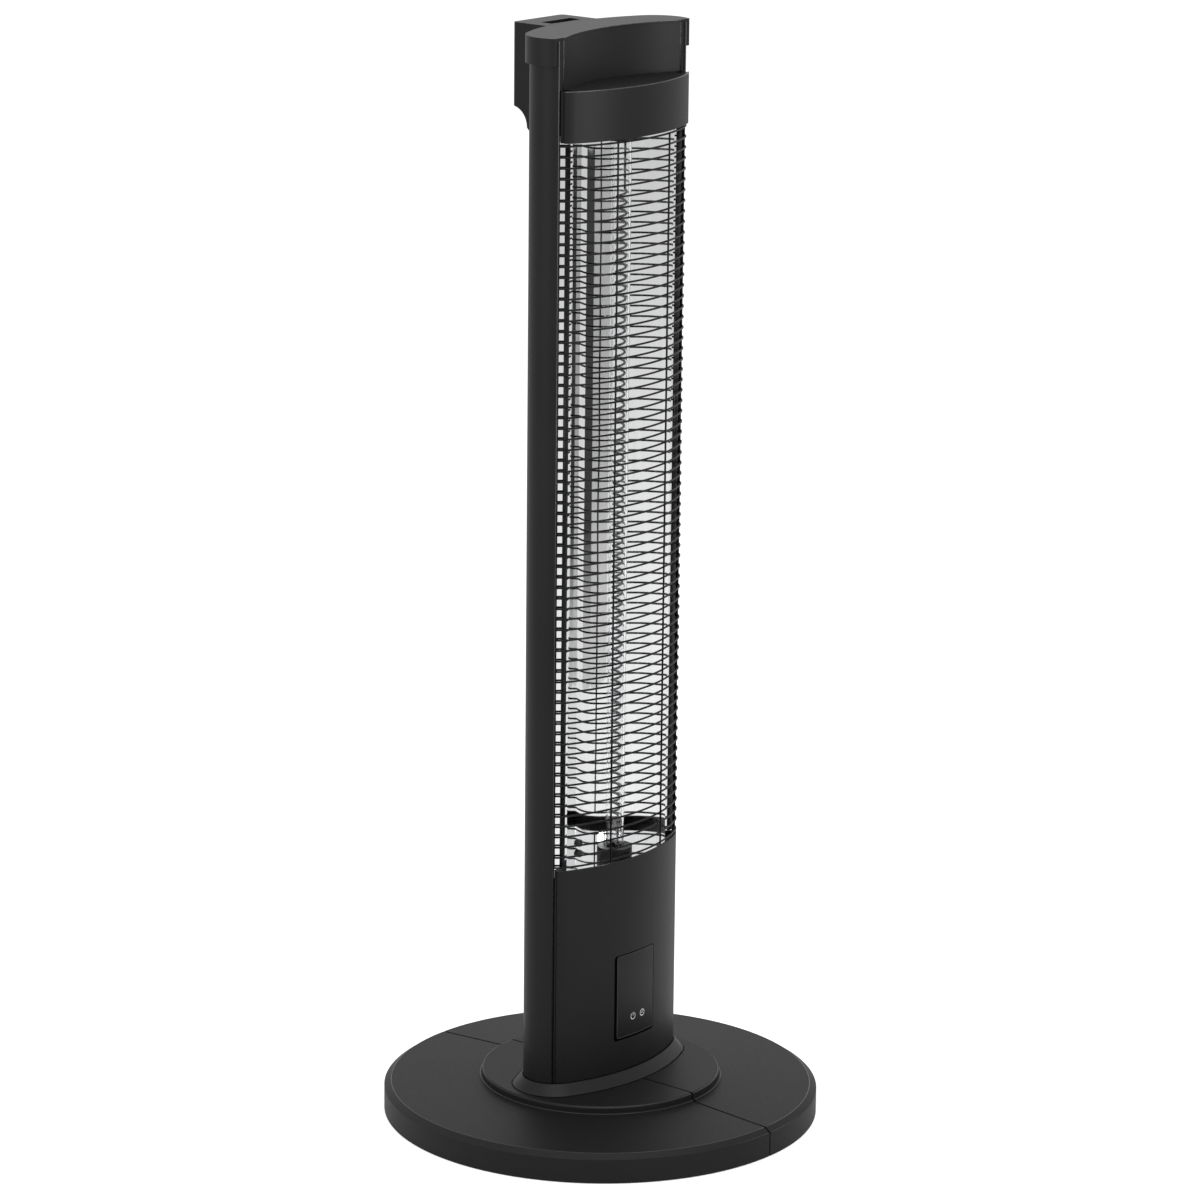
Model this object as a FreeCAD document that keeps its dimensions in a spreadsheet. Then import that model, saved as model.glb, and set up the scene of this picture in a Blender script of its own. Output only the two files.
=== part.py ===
import FreeCAD, Part
import math
import os
import Sketcher

# Infrared tower heater on a round two-piece base.
# Millimetres, +Z up, front towards -Y, origin on the floor under the middle of the base.

DIMENSIONS = {
    # Round base, split left and right
    "base_radius": 199,
    "base_wall": 4,
    "ground_gap": 0.6,
    "rim_height": 22.1,
    "bevel_width": 6,
    "bevel_height": 4.1,
    "deck_rise": 4.2,
    "plateau_radius": 109,
    "plateau_step": 8,
    "plateau_edge": 1.6,
    "ledge_width": 2,
    "ledge_height": 1.6,
    "base_seam": 1.4,
    "base_bore": 30,
    # Weights and feet under the base
    "pad_height": 3,
    "pad_half_width": 8,
    "pad_half_length": 14,
    "pad_inset": 39,
    "ballast_clearance": 1.5,
    # Screws from the base up into the column
    "base_screw_radius": 2.4,
    "base_screw_head_radius": 4.5,
    "base_screw_head_height": 3,
    "base_screw_grip": 2,
    "base_screw_x": 58,
    "screw_clearance": 0.4,
    # Plan of the column: two face arcs, two end arcs
    "column_shift": 2,
    "end_offset": 64.2,
    "end_radius": 28,
    "half_depth": 43,
    "shell_wall": 2,
    "shell_edge": 16,
    "front_edge": 19.2,
    "plate_clearance": 0.4,
    # Heights of the column, from the foot plate upwards
    "foot_plate_sheet": 3,
    "cover_height": 208,
    "guard_height": 659,
    "visor_height": 45,
    "recess_height": 43.5,
    "cap_sheet": 2.5,
    # Collar round the foot of the column
    "skirt_height": 9.5,
    "skirt_flare": 10,
    "skirt_lip": 1.5,
    "skirt_clearance": 0.3,
    # Touch panel in the front cover
    "panel_half_width": 28,
    "panel_height": 82,
    "panel_base": 36,
    "panel_recess": 0.9,
    "panel_flange": 3,
    "panel_thickness": 2.6,
    "panel_corner": 2,
    "panel_clearance": 0.25,
    "panel_seat": 0.1,
    "touch_board_half_width": 24,
    "touch_board_sheet": 1.6,
    # Upright rails behind the groove between shell and front
    "rail_width": 6.2,
    "rail_setback": 0.8,
    "rail_thickness": 4,
    "groove_depth": 4.2,
    # Mirror trough and its end plates
    "mirror_half_width": 70,
    "mirror_back": 27,
    "mirror_front": 18,
    "mirror_sheet": 0.8,
    "mirror_lip_depth": 8,
    "mirror_base_drop": 7,
    "mirror_top_rise": 6,
    "end_plate_sheet": 1,
    "end_plate_half_width": 73,
    "end_plate_back": 29.5,
    "end_plate_side_back": 17,
    "end_plate_corner": 50,
    "shield_back": 24,
    # Screw of the reflector
    "mirror_screw_height": 5,
    "mirror_screw_radius": 1.8,
    "mirror_screw_head_radius": 3.4,
    "mirror_screw_head_height": 2,
    "mirror_screw_grip": 1.2,
    "tab_width": 16,
    "tab_height": 10,
    # Heating tube, its spiral and its ceramic cups
    "tube_front": 15.8,
    "tube_radius": 8.5,
    "tube_wall": 1.5,
    "cup_radius": 16,
    "cup_height": 12,
    "cup_floor": 3,
    "cup_clearance": 0.4,
    "spigot_radius": 4,
    "spigot_length": 7,
    "spigot_clearance": 0.3,
    "spiral_radius": 4.4,
    "spiral_wire": 0.9,
    "spiral_lower_lead": 37,
    "spiral_upper_lead": 54,
    "spiral_bend": 2,
    # Wire guard
    "guard_wire": 1.8,
    "guard_proud": 0.3,
    "guard_first": 3.4,
    "guard_last": 2.8,
    "guard_upright": 35.3,
    "guard_upright_wire": 1.8,
    "guard_strip_gap": 1.3,
    "guard_strip_sheet": 1,
    "guard_edge_wire": 1,
    "guard_end_cut": 17.2,
    # Visor, recess and cap
    "visor_sheet": 2.5,
    "visor_proud": 1.8,
    "visor_edge": 21.3,
    "visor_shelf_half_width": 74,
    "visor_shelf_back": 9.5,
    "recess_half_width": 80,
    "recess_depth": 18.8,
    "recess_edge": 15.4,
    "recess_sheet": 2,
    "recess_ear": 3.4,
    "cap_overhang": 3.8,
    "cap_skirt": 21.5,
    "cap_clearance": 0.4,
    # Holder for a remote control behind the cap
    "holder_half_width": 34,
    "holder_back": 83.5,
    "holder_corner": 5,
    "holder_drop": 74,
    "holder_cove": 18,
    "holder_neck": 8,
    "holder_gap": 0.3,
    "slot_half_width": 20,
    "slot_depth": 13,
    "slot_front": 49.5,
    "slot_drop": 62,
    # Board, bracket and terminals in the foot of the column
    "bracket_half_width": 42,
    "bracket_back": 26.5,
    "bracket_sheet": 1.5,
    "bracket_height": 163,
    "bracket_flange": 14,
    "board_half_width": 38,
    "board_height": 128,
    "board_base": 20,
    "board_sheet": 1.6,
    "standoff_length": 6,
    "standoff_radius": 3,
    "standoff_inset": 6,
    "relay_width": 20,
    "relay_depth": 16,
    "relay_height": 16,
    "relay_gap": 8,
    "transformer_width": 34,
    "transformer_depth": 24,
    "transformer_height": 28,
    "capacitor_radius": 6,
    "capacitor_length": 18,
    "component_margin": 8,
    "terminal_half_width": 18,
    "terminal_depth": 11,
    "terminal_height": 20,
    "terminal_base": 126,
    "shield_drop": 23,
    "shield_sheet": 1,
    # Leads of the heating tube
    "lead_radius": 1.5,
    "lead_back": 33,
    "lead_spread": 10,
    "lead_rise": 12,
    "lead_drop": 4.5,
    "lead_upper_bend": 8,
    "lead_lower_bend": 4,
    # Over-heat switch on the back of the trough
    "cutout_half_width": 5,
    "cutout_half_height": 11,
    "cutout_depth": 6,
    "cutout_height": 360,
    # Mains rocker switch low on the back
    "rocker_level": 78,
    "rocker_half_width": 5.5,
    "rocker_half_height": 8,
    "rocker_face": 5.5,
    "rocker_rim": 2,
    "rocker_hub_half_height": 3,
    "rocker_hub_depth": 3,
    "rocker_pivot_depth": 4,
    "rocker_pin_radius": 1.5,
    "rocker_pin_length": 0.9,
    "rocker_pin_clearance": 0.05,
    "rocker_side_gap": 0.3,
    "rocker_end_gap": 1.5,
    "frame_wall": 1.1,
    "frame_depth": 12,
    "frame_floor": 1.5,
    "frame_flange": 2.2,
    "frame_flange_sheet": 1.6,
    "frame_window_gap": 0.2,
    # Inlet gland low on the back
    "gland_level": 28,
    "gland_bore": 4,
    "gland_half_width": 7.5,
    "gland_flange": 3,
    "gland_flange_sheet": 3.5,
    "gland_depth": 8,
    "gland_hole_gap": 0.2,
    # Tip-over switch under the foot plate
    "tip_half_width": 12,
    "tip_half_depth": 9,
    "tip_drop": 26,
    "tip_wall": 3,
    "tip_bore": 6.2,
    "tip_rod_radius": 3.9,
    "tip_rod_gap": 0.3,
    "tip_collar": 5.7,
    "tip_collar_height": 2,
    "tip_travel": 5,
    "tip_stop_gap": 0.3,
    "tip_floor_gap": 0.3,
    # Cuts run past the faces that they open
    "overrun": 1,
}

# Counts and angles, which stay when lengths are scaled
GUARD_WIRES = 69
FACE_CHORDS = 5
END_CHORDS = 1
SPIRAL_TURNS = 13
HALF_TURNS = 2
ROCKER_TILT = 10.0
PAD_ANGLES = (0.0, 55.0, 125.0, 180.0, 235.0, 305.0)
BALLAST_CHORDS = 6
BALLAST_TURN = 66.0
HEX_SIDES = 6

doc = FreeCAD.newDocument("InfraredHeater")
sheet = doc.addObject("Spreadsheet::Sheet", "Dims")
for row, (alias, number) in enumerate(DIMENSIONS.items(), start=1):
    sheet.set("A%d" % row, alias)
    sheet.set("B%d" % row, str(number))
    sheet.setAlias("B%d" % row, alias)
doc.recompute()


class Size:
    """A length with its value and with the sheet formula that drives it."""

    def __init__(self, value, text):
        self.value = float(value)
        self.text = text

    def __add__(self, other):
        return Size(self.value + number_of(other), "(%s + %s)" % (self.text, text_of(other)))

    def __sub__(self, other):
        return Size(self.value - number_of(other), "(%s - %s)" % (self.text, text_of(other)))

    def __mul__(self, other):
        return Size(self.value * number_of(other), "(%s * %s)" % (self.text, text_of(other)))

    def __truediv__(self, other):
        return Size(self.value / number_of(other), "(%s / %s)" % (self.text, text_of(other)))

    def __neg__(self):
        return Size(-self.value, "(0 - %s)" % self.text)


def text_of(item):
    return item.text if isinstance(item, Size) else repr(float(item))


def number_of(item):
    return item.value if isinstance(item, Size) else float(item)


def root(item):
    return Size(math.sqrt(item.value), "sqrt(%s)" % item.text)


class Sheet:
    """Gives each aliased cell as a Size."""

    def __getattr__(self, alias):
        return Size(sheet.get(alias), "Dims.%s" % alias)


d = Sheet()
ZERO = Size(0, "0")
HALF = 0.5
TWICE = 2.0
DIAGONAL = math.sqrt(2.0)
pieces = []


def bind(item, name, size):
    item.setExpression(name, size.text)


def place(item, x, y, z):
    bind(item, "Placement.Base.x", x)
    bind(item, "Placement.Base.y", y)
    bind(item, "Placement.Base.z", z)


def keep(item, label):
    item.Label = label
    pieces.append(item)
    return item


# Sketched pieces


def new_body(label):
    return keep(doc.addObject("PartDesign::Body", "Body_" + label), label)


def new_sketch(body, role, level=ZERO):
    sketch = body.newObject("Sketcher::SketchObject", body.Label + "_sketch")
    plane = [item for item in body.Origin.OriginFeatures if item.Role == role][0]
    sketch.AttachmentSupport = [(plane, "")]
    sketch.MapMode = "FlatFace"
    bind(sketch, "AttachmentOffset.Base.z", level)
    return sketch


def pin_point(sketch, rules, links, index, which, x, y):
    links.append((len(rules), x.text))
    rules.append(Sketcher.Constraint("DistanceX", -1, 1, index, which, x.value))
    links.append((len(rules), y.text))
    rules.append(Sketcher.Constraint("DistanceY", -1, 1, index, which, y.value))


def apply_rules(sketch, rules, links):
    first = sketch.ConstraintCount
    sketch.addConstraint(rules)
    for index, text in links:
        sketch.setExpression("Constraints[%d]" % (first + index), text)


def outline(sketch, corners):
    """Closed outline. A corner is (x, y), or (x, y, radius, turn) where an arc ends there;
    a turn of +1 has the arc's centre on the left of the way it runs, -1 on the right."""
    first = sketch.GeometryCount
    shapes = []
    ends = []
    rules = []
    links = []
    for index, corner in enumerate(corners):
        before = corners[index - 1]
        start = FreeCAD.Vector(before[0].value, before[1].value, 0)
        end = FreeCAD.Vector(corner[0].value, corner[1].value, 0)
        if len(corner) == 2:
            shapes.append(Part.LineSegment(start, end))
            ends.append((1, 2))
            continue
        radius = corner[2].value
        turn = corner[3]
        chord = end - start
        middle = (start + end) * HALF
        left = FreeCAD.Vector(-chord.y, chord.x, 0)
        left.normalize()
        reach = math.sqrt(max(radius ** 2 - (chord.Length * HALF) ** 2, 0))
        centre = middle + left * (reach * turn)
        angles = [math.atan2(p.y - centre.y, p.x - centre.x) for p in (start, end)]
        if turn < 0:
            angles.reverse()
        circle = Part.Circle(centre, FreeCAD.Vector(0, 0, 1), radius)
        shapes.append(Part.ArcOfCircle(circle, angles[0], angles[1]))
        ends.append((1, 2) if turn > 0 else (2, 1))
        links.append((len(rules), corner[2].text))
        rules.append(Sketcher.Constraint("Radius", first + index, radius))
    sketch.addGeometry(shapes, False)
    for index, corner in enumerate(corners):
        after = (index + 1) % len(corners)
        rules.append(Sketcher.Constraint(
            "Coincident", first + index, ends[index][1], first + after, ends[after][0]))
        pin_point(sketch, rules, links, first + index, ends[index][1], corner[0], corner[1])
    apply_rules(sketch, rules, links)


def circle(sketch, x, y, radius):
    centre = FreeCAD.Vector(x.value, y.value, 0)
    index = sketch.addGeometry(Part.Circle(centre, FreeCAD.Vector(0, 0, 1), radius.value), False)
    rules = [Sketcher.Constraint("Radius", index, radius.value)]
    links = [(0, radius.text)]
    pin_point(sketch, rules, links, index, 3, x, y)
    apply_rules(sketch, rules, links)


def rectangle(sketch, x_low, x_high, y_low, y_high):
    outline(sketch, [(x_low, y_low), (x_high, y_low), (x_high, y_high), (x_low, y_high)])


def pad(body, sketch, length):
    feature = body.newObject("PartDesign::Pad", body.Label + "_pad")
    feature.Profile = sketch
    bind(feature, "Length", length)
    return feature


def pocket(body, sketch, length, along_normal=False):
    feature = body.newObject("PartDesign::Pocket", body.Label + "_pocket")
    feature.Profile = sketch
    feature.Reversed = along_normal
    bind(feature, "Length", length)
    return feature


def revolve(body, sketch, axis="V_Axis", angle=360.0, backwards=False):
    feature = body.newObject("PartDesign::Revolution", body.Label + "_revolution")
    feature.Profile = sketch
    feature.ReferenceAxis = (sketch, [axis])
    feature.Angle = angle
    feature.Reversed = backwards
    return feature


def bevel_edges(body, wanted, size):
    doc.recompute()
    base = body.Tip
    names = ["Edge%d" % (index + 1) for index, edge in enumerate(base.Shape.Edges) if wanted(edge)]
    feature = body.newObject("PartDesign::Chamfer", body.Label + "_chamfer")
    feature.Base = (base, names)
    bind(feature, "Size", size)
    return feature


# Pieces made of simple solids


def box(x_low, x_high, y_low, y_high, z_low, z_high):
    item = doc.addObject("Part::Box", "block")
    bind(item, "Length", x_high - x_low)
    bind(item, "Width", y_high - y_low)
    bind(item, "Height", z_high - z_low)
    place(item, x_low, y_low, z_low)
    return item


def rod(radius, length, x, y, z, towards="up"):
    """Round bar from (x, y, z), upwards, backwards (+Y) or sideways (+X)."""
    item = doc.addObject("Part::Cylinder", "rod")
    bind(item, "Radius", radius)
    bind(item, "Height", length)
    if towards == "back":
        item.Placement.Rotation = FreeCAD.Rotation(FreeCAD.Vector(1, 0, 0), -90)
    if towards == "side":
        item.Placement.Rotation = FreeCAD.Rotation(FreeCAD.Vector(0, 1, 0), 90)
    place(item, x, y, z)
    return item


def hex_bar(radius, length, x, y, z, towards="up"):
    """Six-sided bar from (x, y, z), upwards or backwards."""
    item = doc.addObject("Part::Prism", "hex_bar")
    item.Polygon = HEX_SIDES
    bind(item, "Circumradius", radius)
    bind(item, "Height", length)
    if towards == "back":
        item.Placement.Rotation = FreeCAD.Rotation(FreeCAD.Vector(1, 0, 0), -90)
    place(item, x, y, z)
    return item


def cut(base, tool):
    item = doc.addObject("Part::Cut", "cut")
    item.Base = base
    item.Tool = tool
    return item


def fuse(items):
    item = doc.addObject("Part::MultiFuse", "fused")
    item.Shapes = items
    item.Refine = True
    return item


def group(items):
    item = doc.addObject("Part::Compound", "set")
    item.Links = items
    return item


def shaped(label, shape):
    item = doc.addObject("Part::Feature", "shape_" + label)
    item.Shape = shape
    item.Placement = FreeCAD.Placement()
    return keep(item, label)


# Plan of the column. The face arcs meet the end arcs without a corner.

half_sum = d.end_offset * d.end_offset + d.half_depth * d.half_depth - d.end_radius * d.end_radius
face_radius = half_sum / ((d.half_depth - d.end_radius) * TWICE)
arc_distance = face_radius - d.end_radius
front_centre = d.column_shift - d.half_depth + face_radius
back_centre = d.column_shift + d.half_depth - face_radius


class Plan:
    """The column's plan, drawn outwards by a distance."""

    def __init__(self, outwards):
        self.face = face_radius + outwards
        self.end = d.end_radius + outwards
        self.x = self.face * d.end_offset / arc_distance
        self.front = front_centre - self.face * (front_centre - d.column_shift) / arc_distance
        self.back = d.column_shift * TWICE - self.front

    def end_x(self, distance):
        """x of the end arc at a distance in front of the column's middle line."""
        return d.end_offset + root(self.end * self.end - distance * distance)

    def front_y(self, x):
        return front_centre - root(self.face * self.face - x * x)

    def back_y(self, x):
        return back_centre + root(self.face * self.face - x * x)

    def corners(self):
        return [
            (-self.x, self.front, self.end, 1),
            (self.x, self.front, self.face, 1),
            (self.x, self.back, self.end, 1),
            (-self.x, self.back, self.face, 1),
        ]


def rear_band(outer, inner, distance):
    """C-shaped wall behind a line that lies in front of the column's middle line."""
    y = d.column_shift - distance
    return [
        (outer.end_x(distance), y),
        (outer.x, outer.back, outer.end, 1),
        (-outer.x, outer.back, outer.face, 1),
        (-outer.end_x(distance), y, outer.end, 1),
        (-inner.end_x(distance), y),
        (-inner.x, inner.back, inner.end, -1),
        (inner.x, inner.back, inner.face, -1),
        (inner.end_x(distance), y, inner.end, -1),
    ]


def front_band(outer, inner, distance):
    """Curved front wall ahead of a line in front of the column's middle line."""
    y = d.column_shift - distance
    return [
        (-outer.end_x(distance), y),
        (-outer.x, outer.front, outer.end, 1),
        (outer.x, outer.front, outer.face, 1),
        (outer.end_x(distance), y, outer.end, 1),
        (inner.end_x(distance), y),
        (inner.x, inner.front, inner.end, -1),
        (-inner.x, inner.front, inner.face, -1),
        (-inner.end_x(distance), y, inner.end, -1),
    ]


def face_band(outer, inner, half_width):
    """Piece of the front wall between two upright lines."""
    return [
        (-half_width, outer.front_y(half_width)),
        (half_width, outer.front_y(half_width), outer.face, 1),
        (half_width, inner.front_y(half_width)),
        (-half_width, inner.front_y(half_width), inner.face, -1),
    ]


def face_plate(plan, back):
    """Level plate that fills the front of the column, with slanted rear corners."""
    half_width = d.end_plate_half_width
    side_back = d.column_shift + d.end_plate_side_back
    return [
        (-half_width, plan.front_y(half_width)),
        (half_width, plan.front_y(half_width), plan.face, 1),
        (half_width, side_back),
        (d.end_plate_corner, back),
        (-d.end_plate_corner, back),
        (-half_width, side_back),
    ]


column = Plan(ZERO)
column_inside = Plan(-d.shell_wall)
column_fit = Plan(-(d.shell_wall + d.plate_clearance))

# Heights

rim_top = d.ground_gap + d.rim_height
bevel_top = rim_top + d.bevel_height
deck_under = bevel_top - d.base_wall
plateau_foot = bevel_top + d.deck_rise
plateau_top = plateau_foot + d.plateau_step
plate_top = plateau_top + d.foot_plate_sheet
cover_top = plate_top + d.cover_height
visor_low = cover_top + d.guard_height
visor_top = visor_low + d.visor_height
cap_under = visor_top + d.recess_height
cap_top = cap_under + d.cap_sheet
rail_top = visor_top - d.visor_sheet
mirror_low = cover_top - d.mirror_base_drop
mirror_high = visor_low + d.mirror_top_rise

# Base halves: half turns of one profile, drawn apart by the seam

screw_sides = (-1, 1)


def base_half(label, side):
    body = new_body(label)
    profile = new_sketch(body, "YZ_Plane")
    outer_wall = d.base_radius - d.base_wall
    outline(profile, [
        (d.base_bore, deck_under),
        (outer_wall, deck_under),
        (outer_wall, d.ground_gap),
        (d.base_radius, d.ground_gap),
        (d.base_radius, rim_top),
        (d.base_radius - d.bevel_width, bevel_top),
        (d.plateau_radius + d.ledge_width, plateau_foot),
        (d.plateau_radius + d.ledge_width, plateau_foot + d.ledge_height),
        (d.plateau_radius, plateau_foot + d.ledge_height),
        (d.plateau_radius, plateau_top - d.plateau_edge),
        (d.plateau_radius - d.plateau_edge, plateau_top),
        (d.base_bore, plateau_top),
    ])
    revolve(body, profile, angle=180.0, backwards=side > 0)
    holes = new_sketch(body, "XY_Plane", plateau_top + d.overrun)
    circle(holes, (d.base_screw_x - d.base_seam * HALF) * side, d.column_shift,
           d.base_screw_radius + d.screw_clearance)
    pocket(body, holes, plateau_top - deck_under + d.overrun * TWICE)
    bind(body, "Placement.Base.x", d.base_seam * HALF * side)


base_half("base_half_left", -1)
base_half("base_half_right", 1)


def ballast_half(label, side):
    """Thick plate with one straight side, its round side cut in chords."""
    body = new_body(label)
    sketch = new_sketch(body, "XY_Plane", d.pad_height)
    outer = d.base_radius - d.base_wall - d.ballast_clearance
    reach = math.radians(BALLAST_TURN)
    turns = [reach * (index / BALLAST_CHORDS * TWICE - 1.0) for index in range(BALLAST_CHORDS + 1)]
    outline(sketch, [(outer * (math.cos(turn) * side), outer * math.sin(turn)) for turn in turns])
    pad(body, sketch, deck_under - d.pad_height)
    bind(body, "Placement.Base.x", d.base_seam * HALF * side)


ballast_half("ballast_left", -1)
ballast_half("ballast_right", 1)

pads = []
for angle in PAD_ANGLES:
    reach_x_share = math.cos(math.radians(angle))
    reach_y_share = math.sin(math.radians(angle))
    x = (d.base_radius - d.pad_inset) * reach_x_share
    y = (d.base_radius - d.pad_inset) * reach_y_share
    pads.append(box(x - d.pad_half_width, x + d.pad_half_width, y - d.pad_half_length,
                    y + d.pad_half_length, ZERO, d.pad_height))
keep(group(pads), "base_feet")

screws = []
for side in screw_sides:
    x = d.base_screw_x * side
    head_low = deck_under - d.base_screw_head_height
    head = hex_bar(d.base_screw_head_radius, d.base_screw_head_height, x, d.column_shift, head_low)
    shank = rod(d.base_screw_radius, plateau_top + d.base_screw_grip - deck_under,
                x, d.column_shift, deck_under)
    screws.append(fuse([head, shank]))
keep(group(screws), "base_screws")

# Floor of the column

foot = new_body("foot_plate")
sketch = new_sketch(foot, "XY_Plane", plateau_top)
outline(sketch, column.corners())
pad(foot, sketch, d.foot_plate_sheet)

# Flared collar: tapered from a wide foot to the column, hollowed to the column's plan

skirt = new_body("foot_skirt")
low = new_sketch(skirt, "XY_Plane", plateau_top)
outline(low, Plan(d.skirt_flare).corners())
flare = pad(skirt, low, d.skirt_height)
taper = (d.skirt_lip - d.skirt_flare) / d.skirt_height
flare.setExpression("TaperAngle", "atan(%s)" % taper.text)
opening = new_sketch(skirt, "XY_Plane", plateau_top + d.skirt_height + d.overrun)
outline(opening, Plan(d.skirt_clearance).corners())
pocket(skirt, opening, d.skirt_height + d.overrun * TWICE)

# Rear shell, with the window of the rocker switch and the hole of the gland

rocker_z = plate_top + d.rocker_level
gland_z = plate_top + d.gland_level
shell_back = d.column_shift + d.half_depth
frame_inside_x = d.rocker_half_width + d.rocker_side_gap
frame_inside_z = d.rocker_half_height + d.rocker_end_gap
frame_x = frame_inside_x + d.frame_wall
frame_z = frame_inside_z + d.frame_wall

shell = new_body("rear_shell")
sketch = new_sketch(shell, "XY_Plane", plate_top)
outline(sketch, rear_band(column, column_inside, d.shell_edge))
pad(shell, sketch, cap_under - plate_top)
opening = new_sketch(shell, "XZ_Plane", -(shell_back + d.overrun))
window_x = frame_x + d.frame_window_gap
window_z = frame_z + d.frame_window_gap
rectangle(opening, -window_x, window_x, rocker_z - window_z, rocker_z + window_z)
gland_hole = d.gland_half_width + d.gland_hole_gap
rectangle(opening, -gland_hole, gland_hole, gland_z - gland_hole, gland_z + gland_hole)
pocket(shell, opening, d.half_depth * HALF, along_normal=True)

# Front cover with the window of the touch panel

panel_low = plate_top + d.panel_base
panel_high = panel_low + d.panel_height


def corner_edge(edge):
    """Short edge that runs straight from front to back."""
    if len(edge.Vertexes) != 2:
        return False
    run = edge.Vertexes[1].Point - edge.Vertexes[0].Point
    return abs(run.x) + abs(run.z) < abs(run.y) / 1000


def window_corner(edge):
    return corner_edge(edge) and abs(edge.CenterOfMass.x) < column.x.value * HALF


cover = new_body("front_cover")
sketch = new_sketch(cover, "XY_Plane", plate_top)
outline(sketch, front_band(column, column_inside, d.front_edge))
pad(cover, sketch, d.cover_height)
opening = new_sketch(cover, "XZ_Plane", -(d.column_shift - d.half_depth - d.overrun))
rectangle(opening, -d.panel_half_width, d.panel_half_width, panel_low, panel_high)
pocket(cover, opening, d.half_depth * HALF)
bevel_edges(cover, window_corner, d.panel_corner)

# Touch panel: a curved plate that fills the window, with a flange behind the cover

panel = new_body("touch_panel")
flange_face = Plan(-(d.shell_wall + d.panel_seat))
panel_back = Plan(-(d.panel_recess + d.panel_thickness))
face_plan = Plan(-d.panel_recess)
sketch = new_sketch(panel, "XY_Plane", panel_low - d.panel_flange)
outline(sketch, face_band(flange_face, panel_back, d.panel_half_width + d.panel_flange))
pad(panel, sketch, d.panel_height + d.panel_flange * TWICE)
sketch = new_sketch(panel, "XY_Plane", panel_low + d.panel_clearance)
outline(sketch, face_band(face_plan, flange_face, d.panel_half_width - d.panel_clearance))
pad(panel, sketch, d.panel_height - d.panel_clearance * TWICE)


def panel_corner(edge):
    inside = abs(edge.CenterOfMass.x) < d.panel_half_width.value
    return corner_edge(edge) and inside


bevel_edges(panel, panel_corner, d.panel_corner)

touch_front = panel_back.front_y(d.touch_board_half_width) + d.plate_clearance
keep(box(-d.touch_board_half_width, d.touch_board_half_width, touch_front,
         touch_front + d.touch_board_sheet, panel_low, panel_high), "touch_board")

# Mirror trough: hollow arc with the tube near its focus, and lips that turn outwards and back
# onto the rails

groove_face = d.end_radius - d.groove_depth
mirror_y = d.column_shift + d.mirror_back
lip_y = d.column_shift - d.mirror_front
lip_sum = d.end_offset - d.column_shift + groove_face * DIAGONAL
lip_x = lip_sum + lip_y
lip_run = d.mirror_lip_depth / DIAGONAL
miter_share = math.tan(math.radians(22.5))
sheet_run = d.mirror_sheet / DIAGONAL
back_y = mirror_y + d.mirror_sheet
mirror_depth = d.mirror_back + d.mirror_front
mirror_radius = (d.mirror_half_width * d.mirror_half_width + mirror_depth * mirror_depth) / (
    mirror_depth * TWICE)
mirror_centre = mirror_y - mirror_radius
mirror_outside = mirror_radius + d.mirror_sheet
flange_back = lip_y + d.mirror_sheet
flange_rise = flange_back - mirror_centre
trough_x = root(mirror_outside * mirror_outside - flange_rise * flange_rise)
lip_back_x = lip_x - d.mirror_sheet * miter_share

trough = new_body("main_reflector")
sketch = new_sketch(trough, "XY_Plane", mirror_low)
outline(sketch, [
    (lip_x + lip_run, lip_y + lip_run),
    (lip_x, lip_y),
    (d.mirror_half_width, lip_y),
    (-d.mirror_half_width, lip_y, mirror_radius, 1),
    (-lip_x, lip_y),
    (-(lip_x + lip_run), lip_y + lip_run),
    (-(lip_x + lip_run - sheet_run), lip_y + lip_run + sheet_run),
    (-lip_back_x, flange_back),
    (-trough_x, flange_back),
    (trough_x, flange_back, mirror_outside, -1),
    (lip_back_x, flange_back),
    (lip_x + lip_run - sheet_run, lip_y + lip_run + sheet_run),
])
pad(trough, sketch, mirror_high - mirror_low)
screw_hole = new_sketch(trough, "XZ_Plane", -(back_y + d.overrun))
circle(screw_hole, ZERO, mirror_low + d.mirror_screw_height, d.mirror_screw_radius + d.screw_clearance)
pocket(trough, screw_hole, d.mirror_sheet + d.overrun * TWICE, along_normal=True)

# Rails: upright bars set slantwise behind the lips of the trough


def rail(label, side):
    body = new_body(label)
    sketch = new_sketch(body, "XY_Plane", plate_top)
    face = groove_face - d.mirror_sheet
    back = face - d.rail_thickness
    near = (lip_x - d.end_offset + lip_y - d.column_shift) / DIAGONAL + d.rail_setback
    far = near + d.rail_width
    corners = []
    for out, run in ((face, near), (face, far), (back, far), (back, near)):
        x = d.end_offset + (out + run) / DIAGONAL
        y = d.column_shift - (out - run) / DIAGONAL
        corners.append((x * side, y))
    outline(sketch, corners)
    pad(body, sketch, rail_top - plate_top)


rail("guard_rail_left", -1)
rail("guard_rail_right", 1)

# End plates of the trough; the lower one has a tab behind the back wall for the screw

tube_y = d.column_shift - d.tube_front
plate_y = d.column_shift + d.end_plate_back

lower = new_body("lower_reflector")
sketch = new_sketch(lower, "XY_Plane", mirror_low - d.end_plate_sheet)
outline(sketch, face_plate(column_fit, plate_y))
circle(sketch, ZERO, tube_y, d.spigot_radius + d.spigot_clearance)
pad(lower, sketch, d.end_plate_sheet)
tab = new_sketch(lower, "XY_Plane", mirror_low - d.end_plate_sheet)
rectangle(tab, -d.tab_width * HALF, d.tab_width * HALF, back_y, plate_y)
pad(lower, tab, d.tab_height + d.end_plate_sheet)
upper = new_body("upper_reflector")
sketch = new_sketch(upper, "XY_Plane", mirror_high)
outline(sketch, face_plate(column_fit, plate_y))
circle(sketch, ZERO, tube_y, d.spigot_radius + d.spigot_clearance)
pad(upper, sketch, d.end_plate_sheet)

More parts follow.
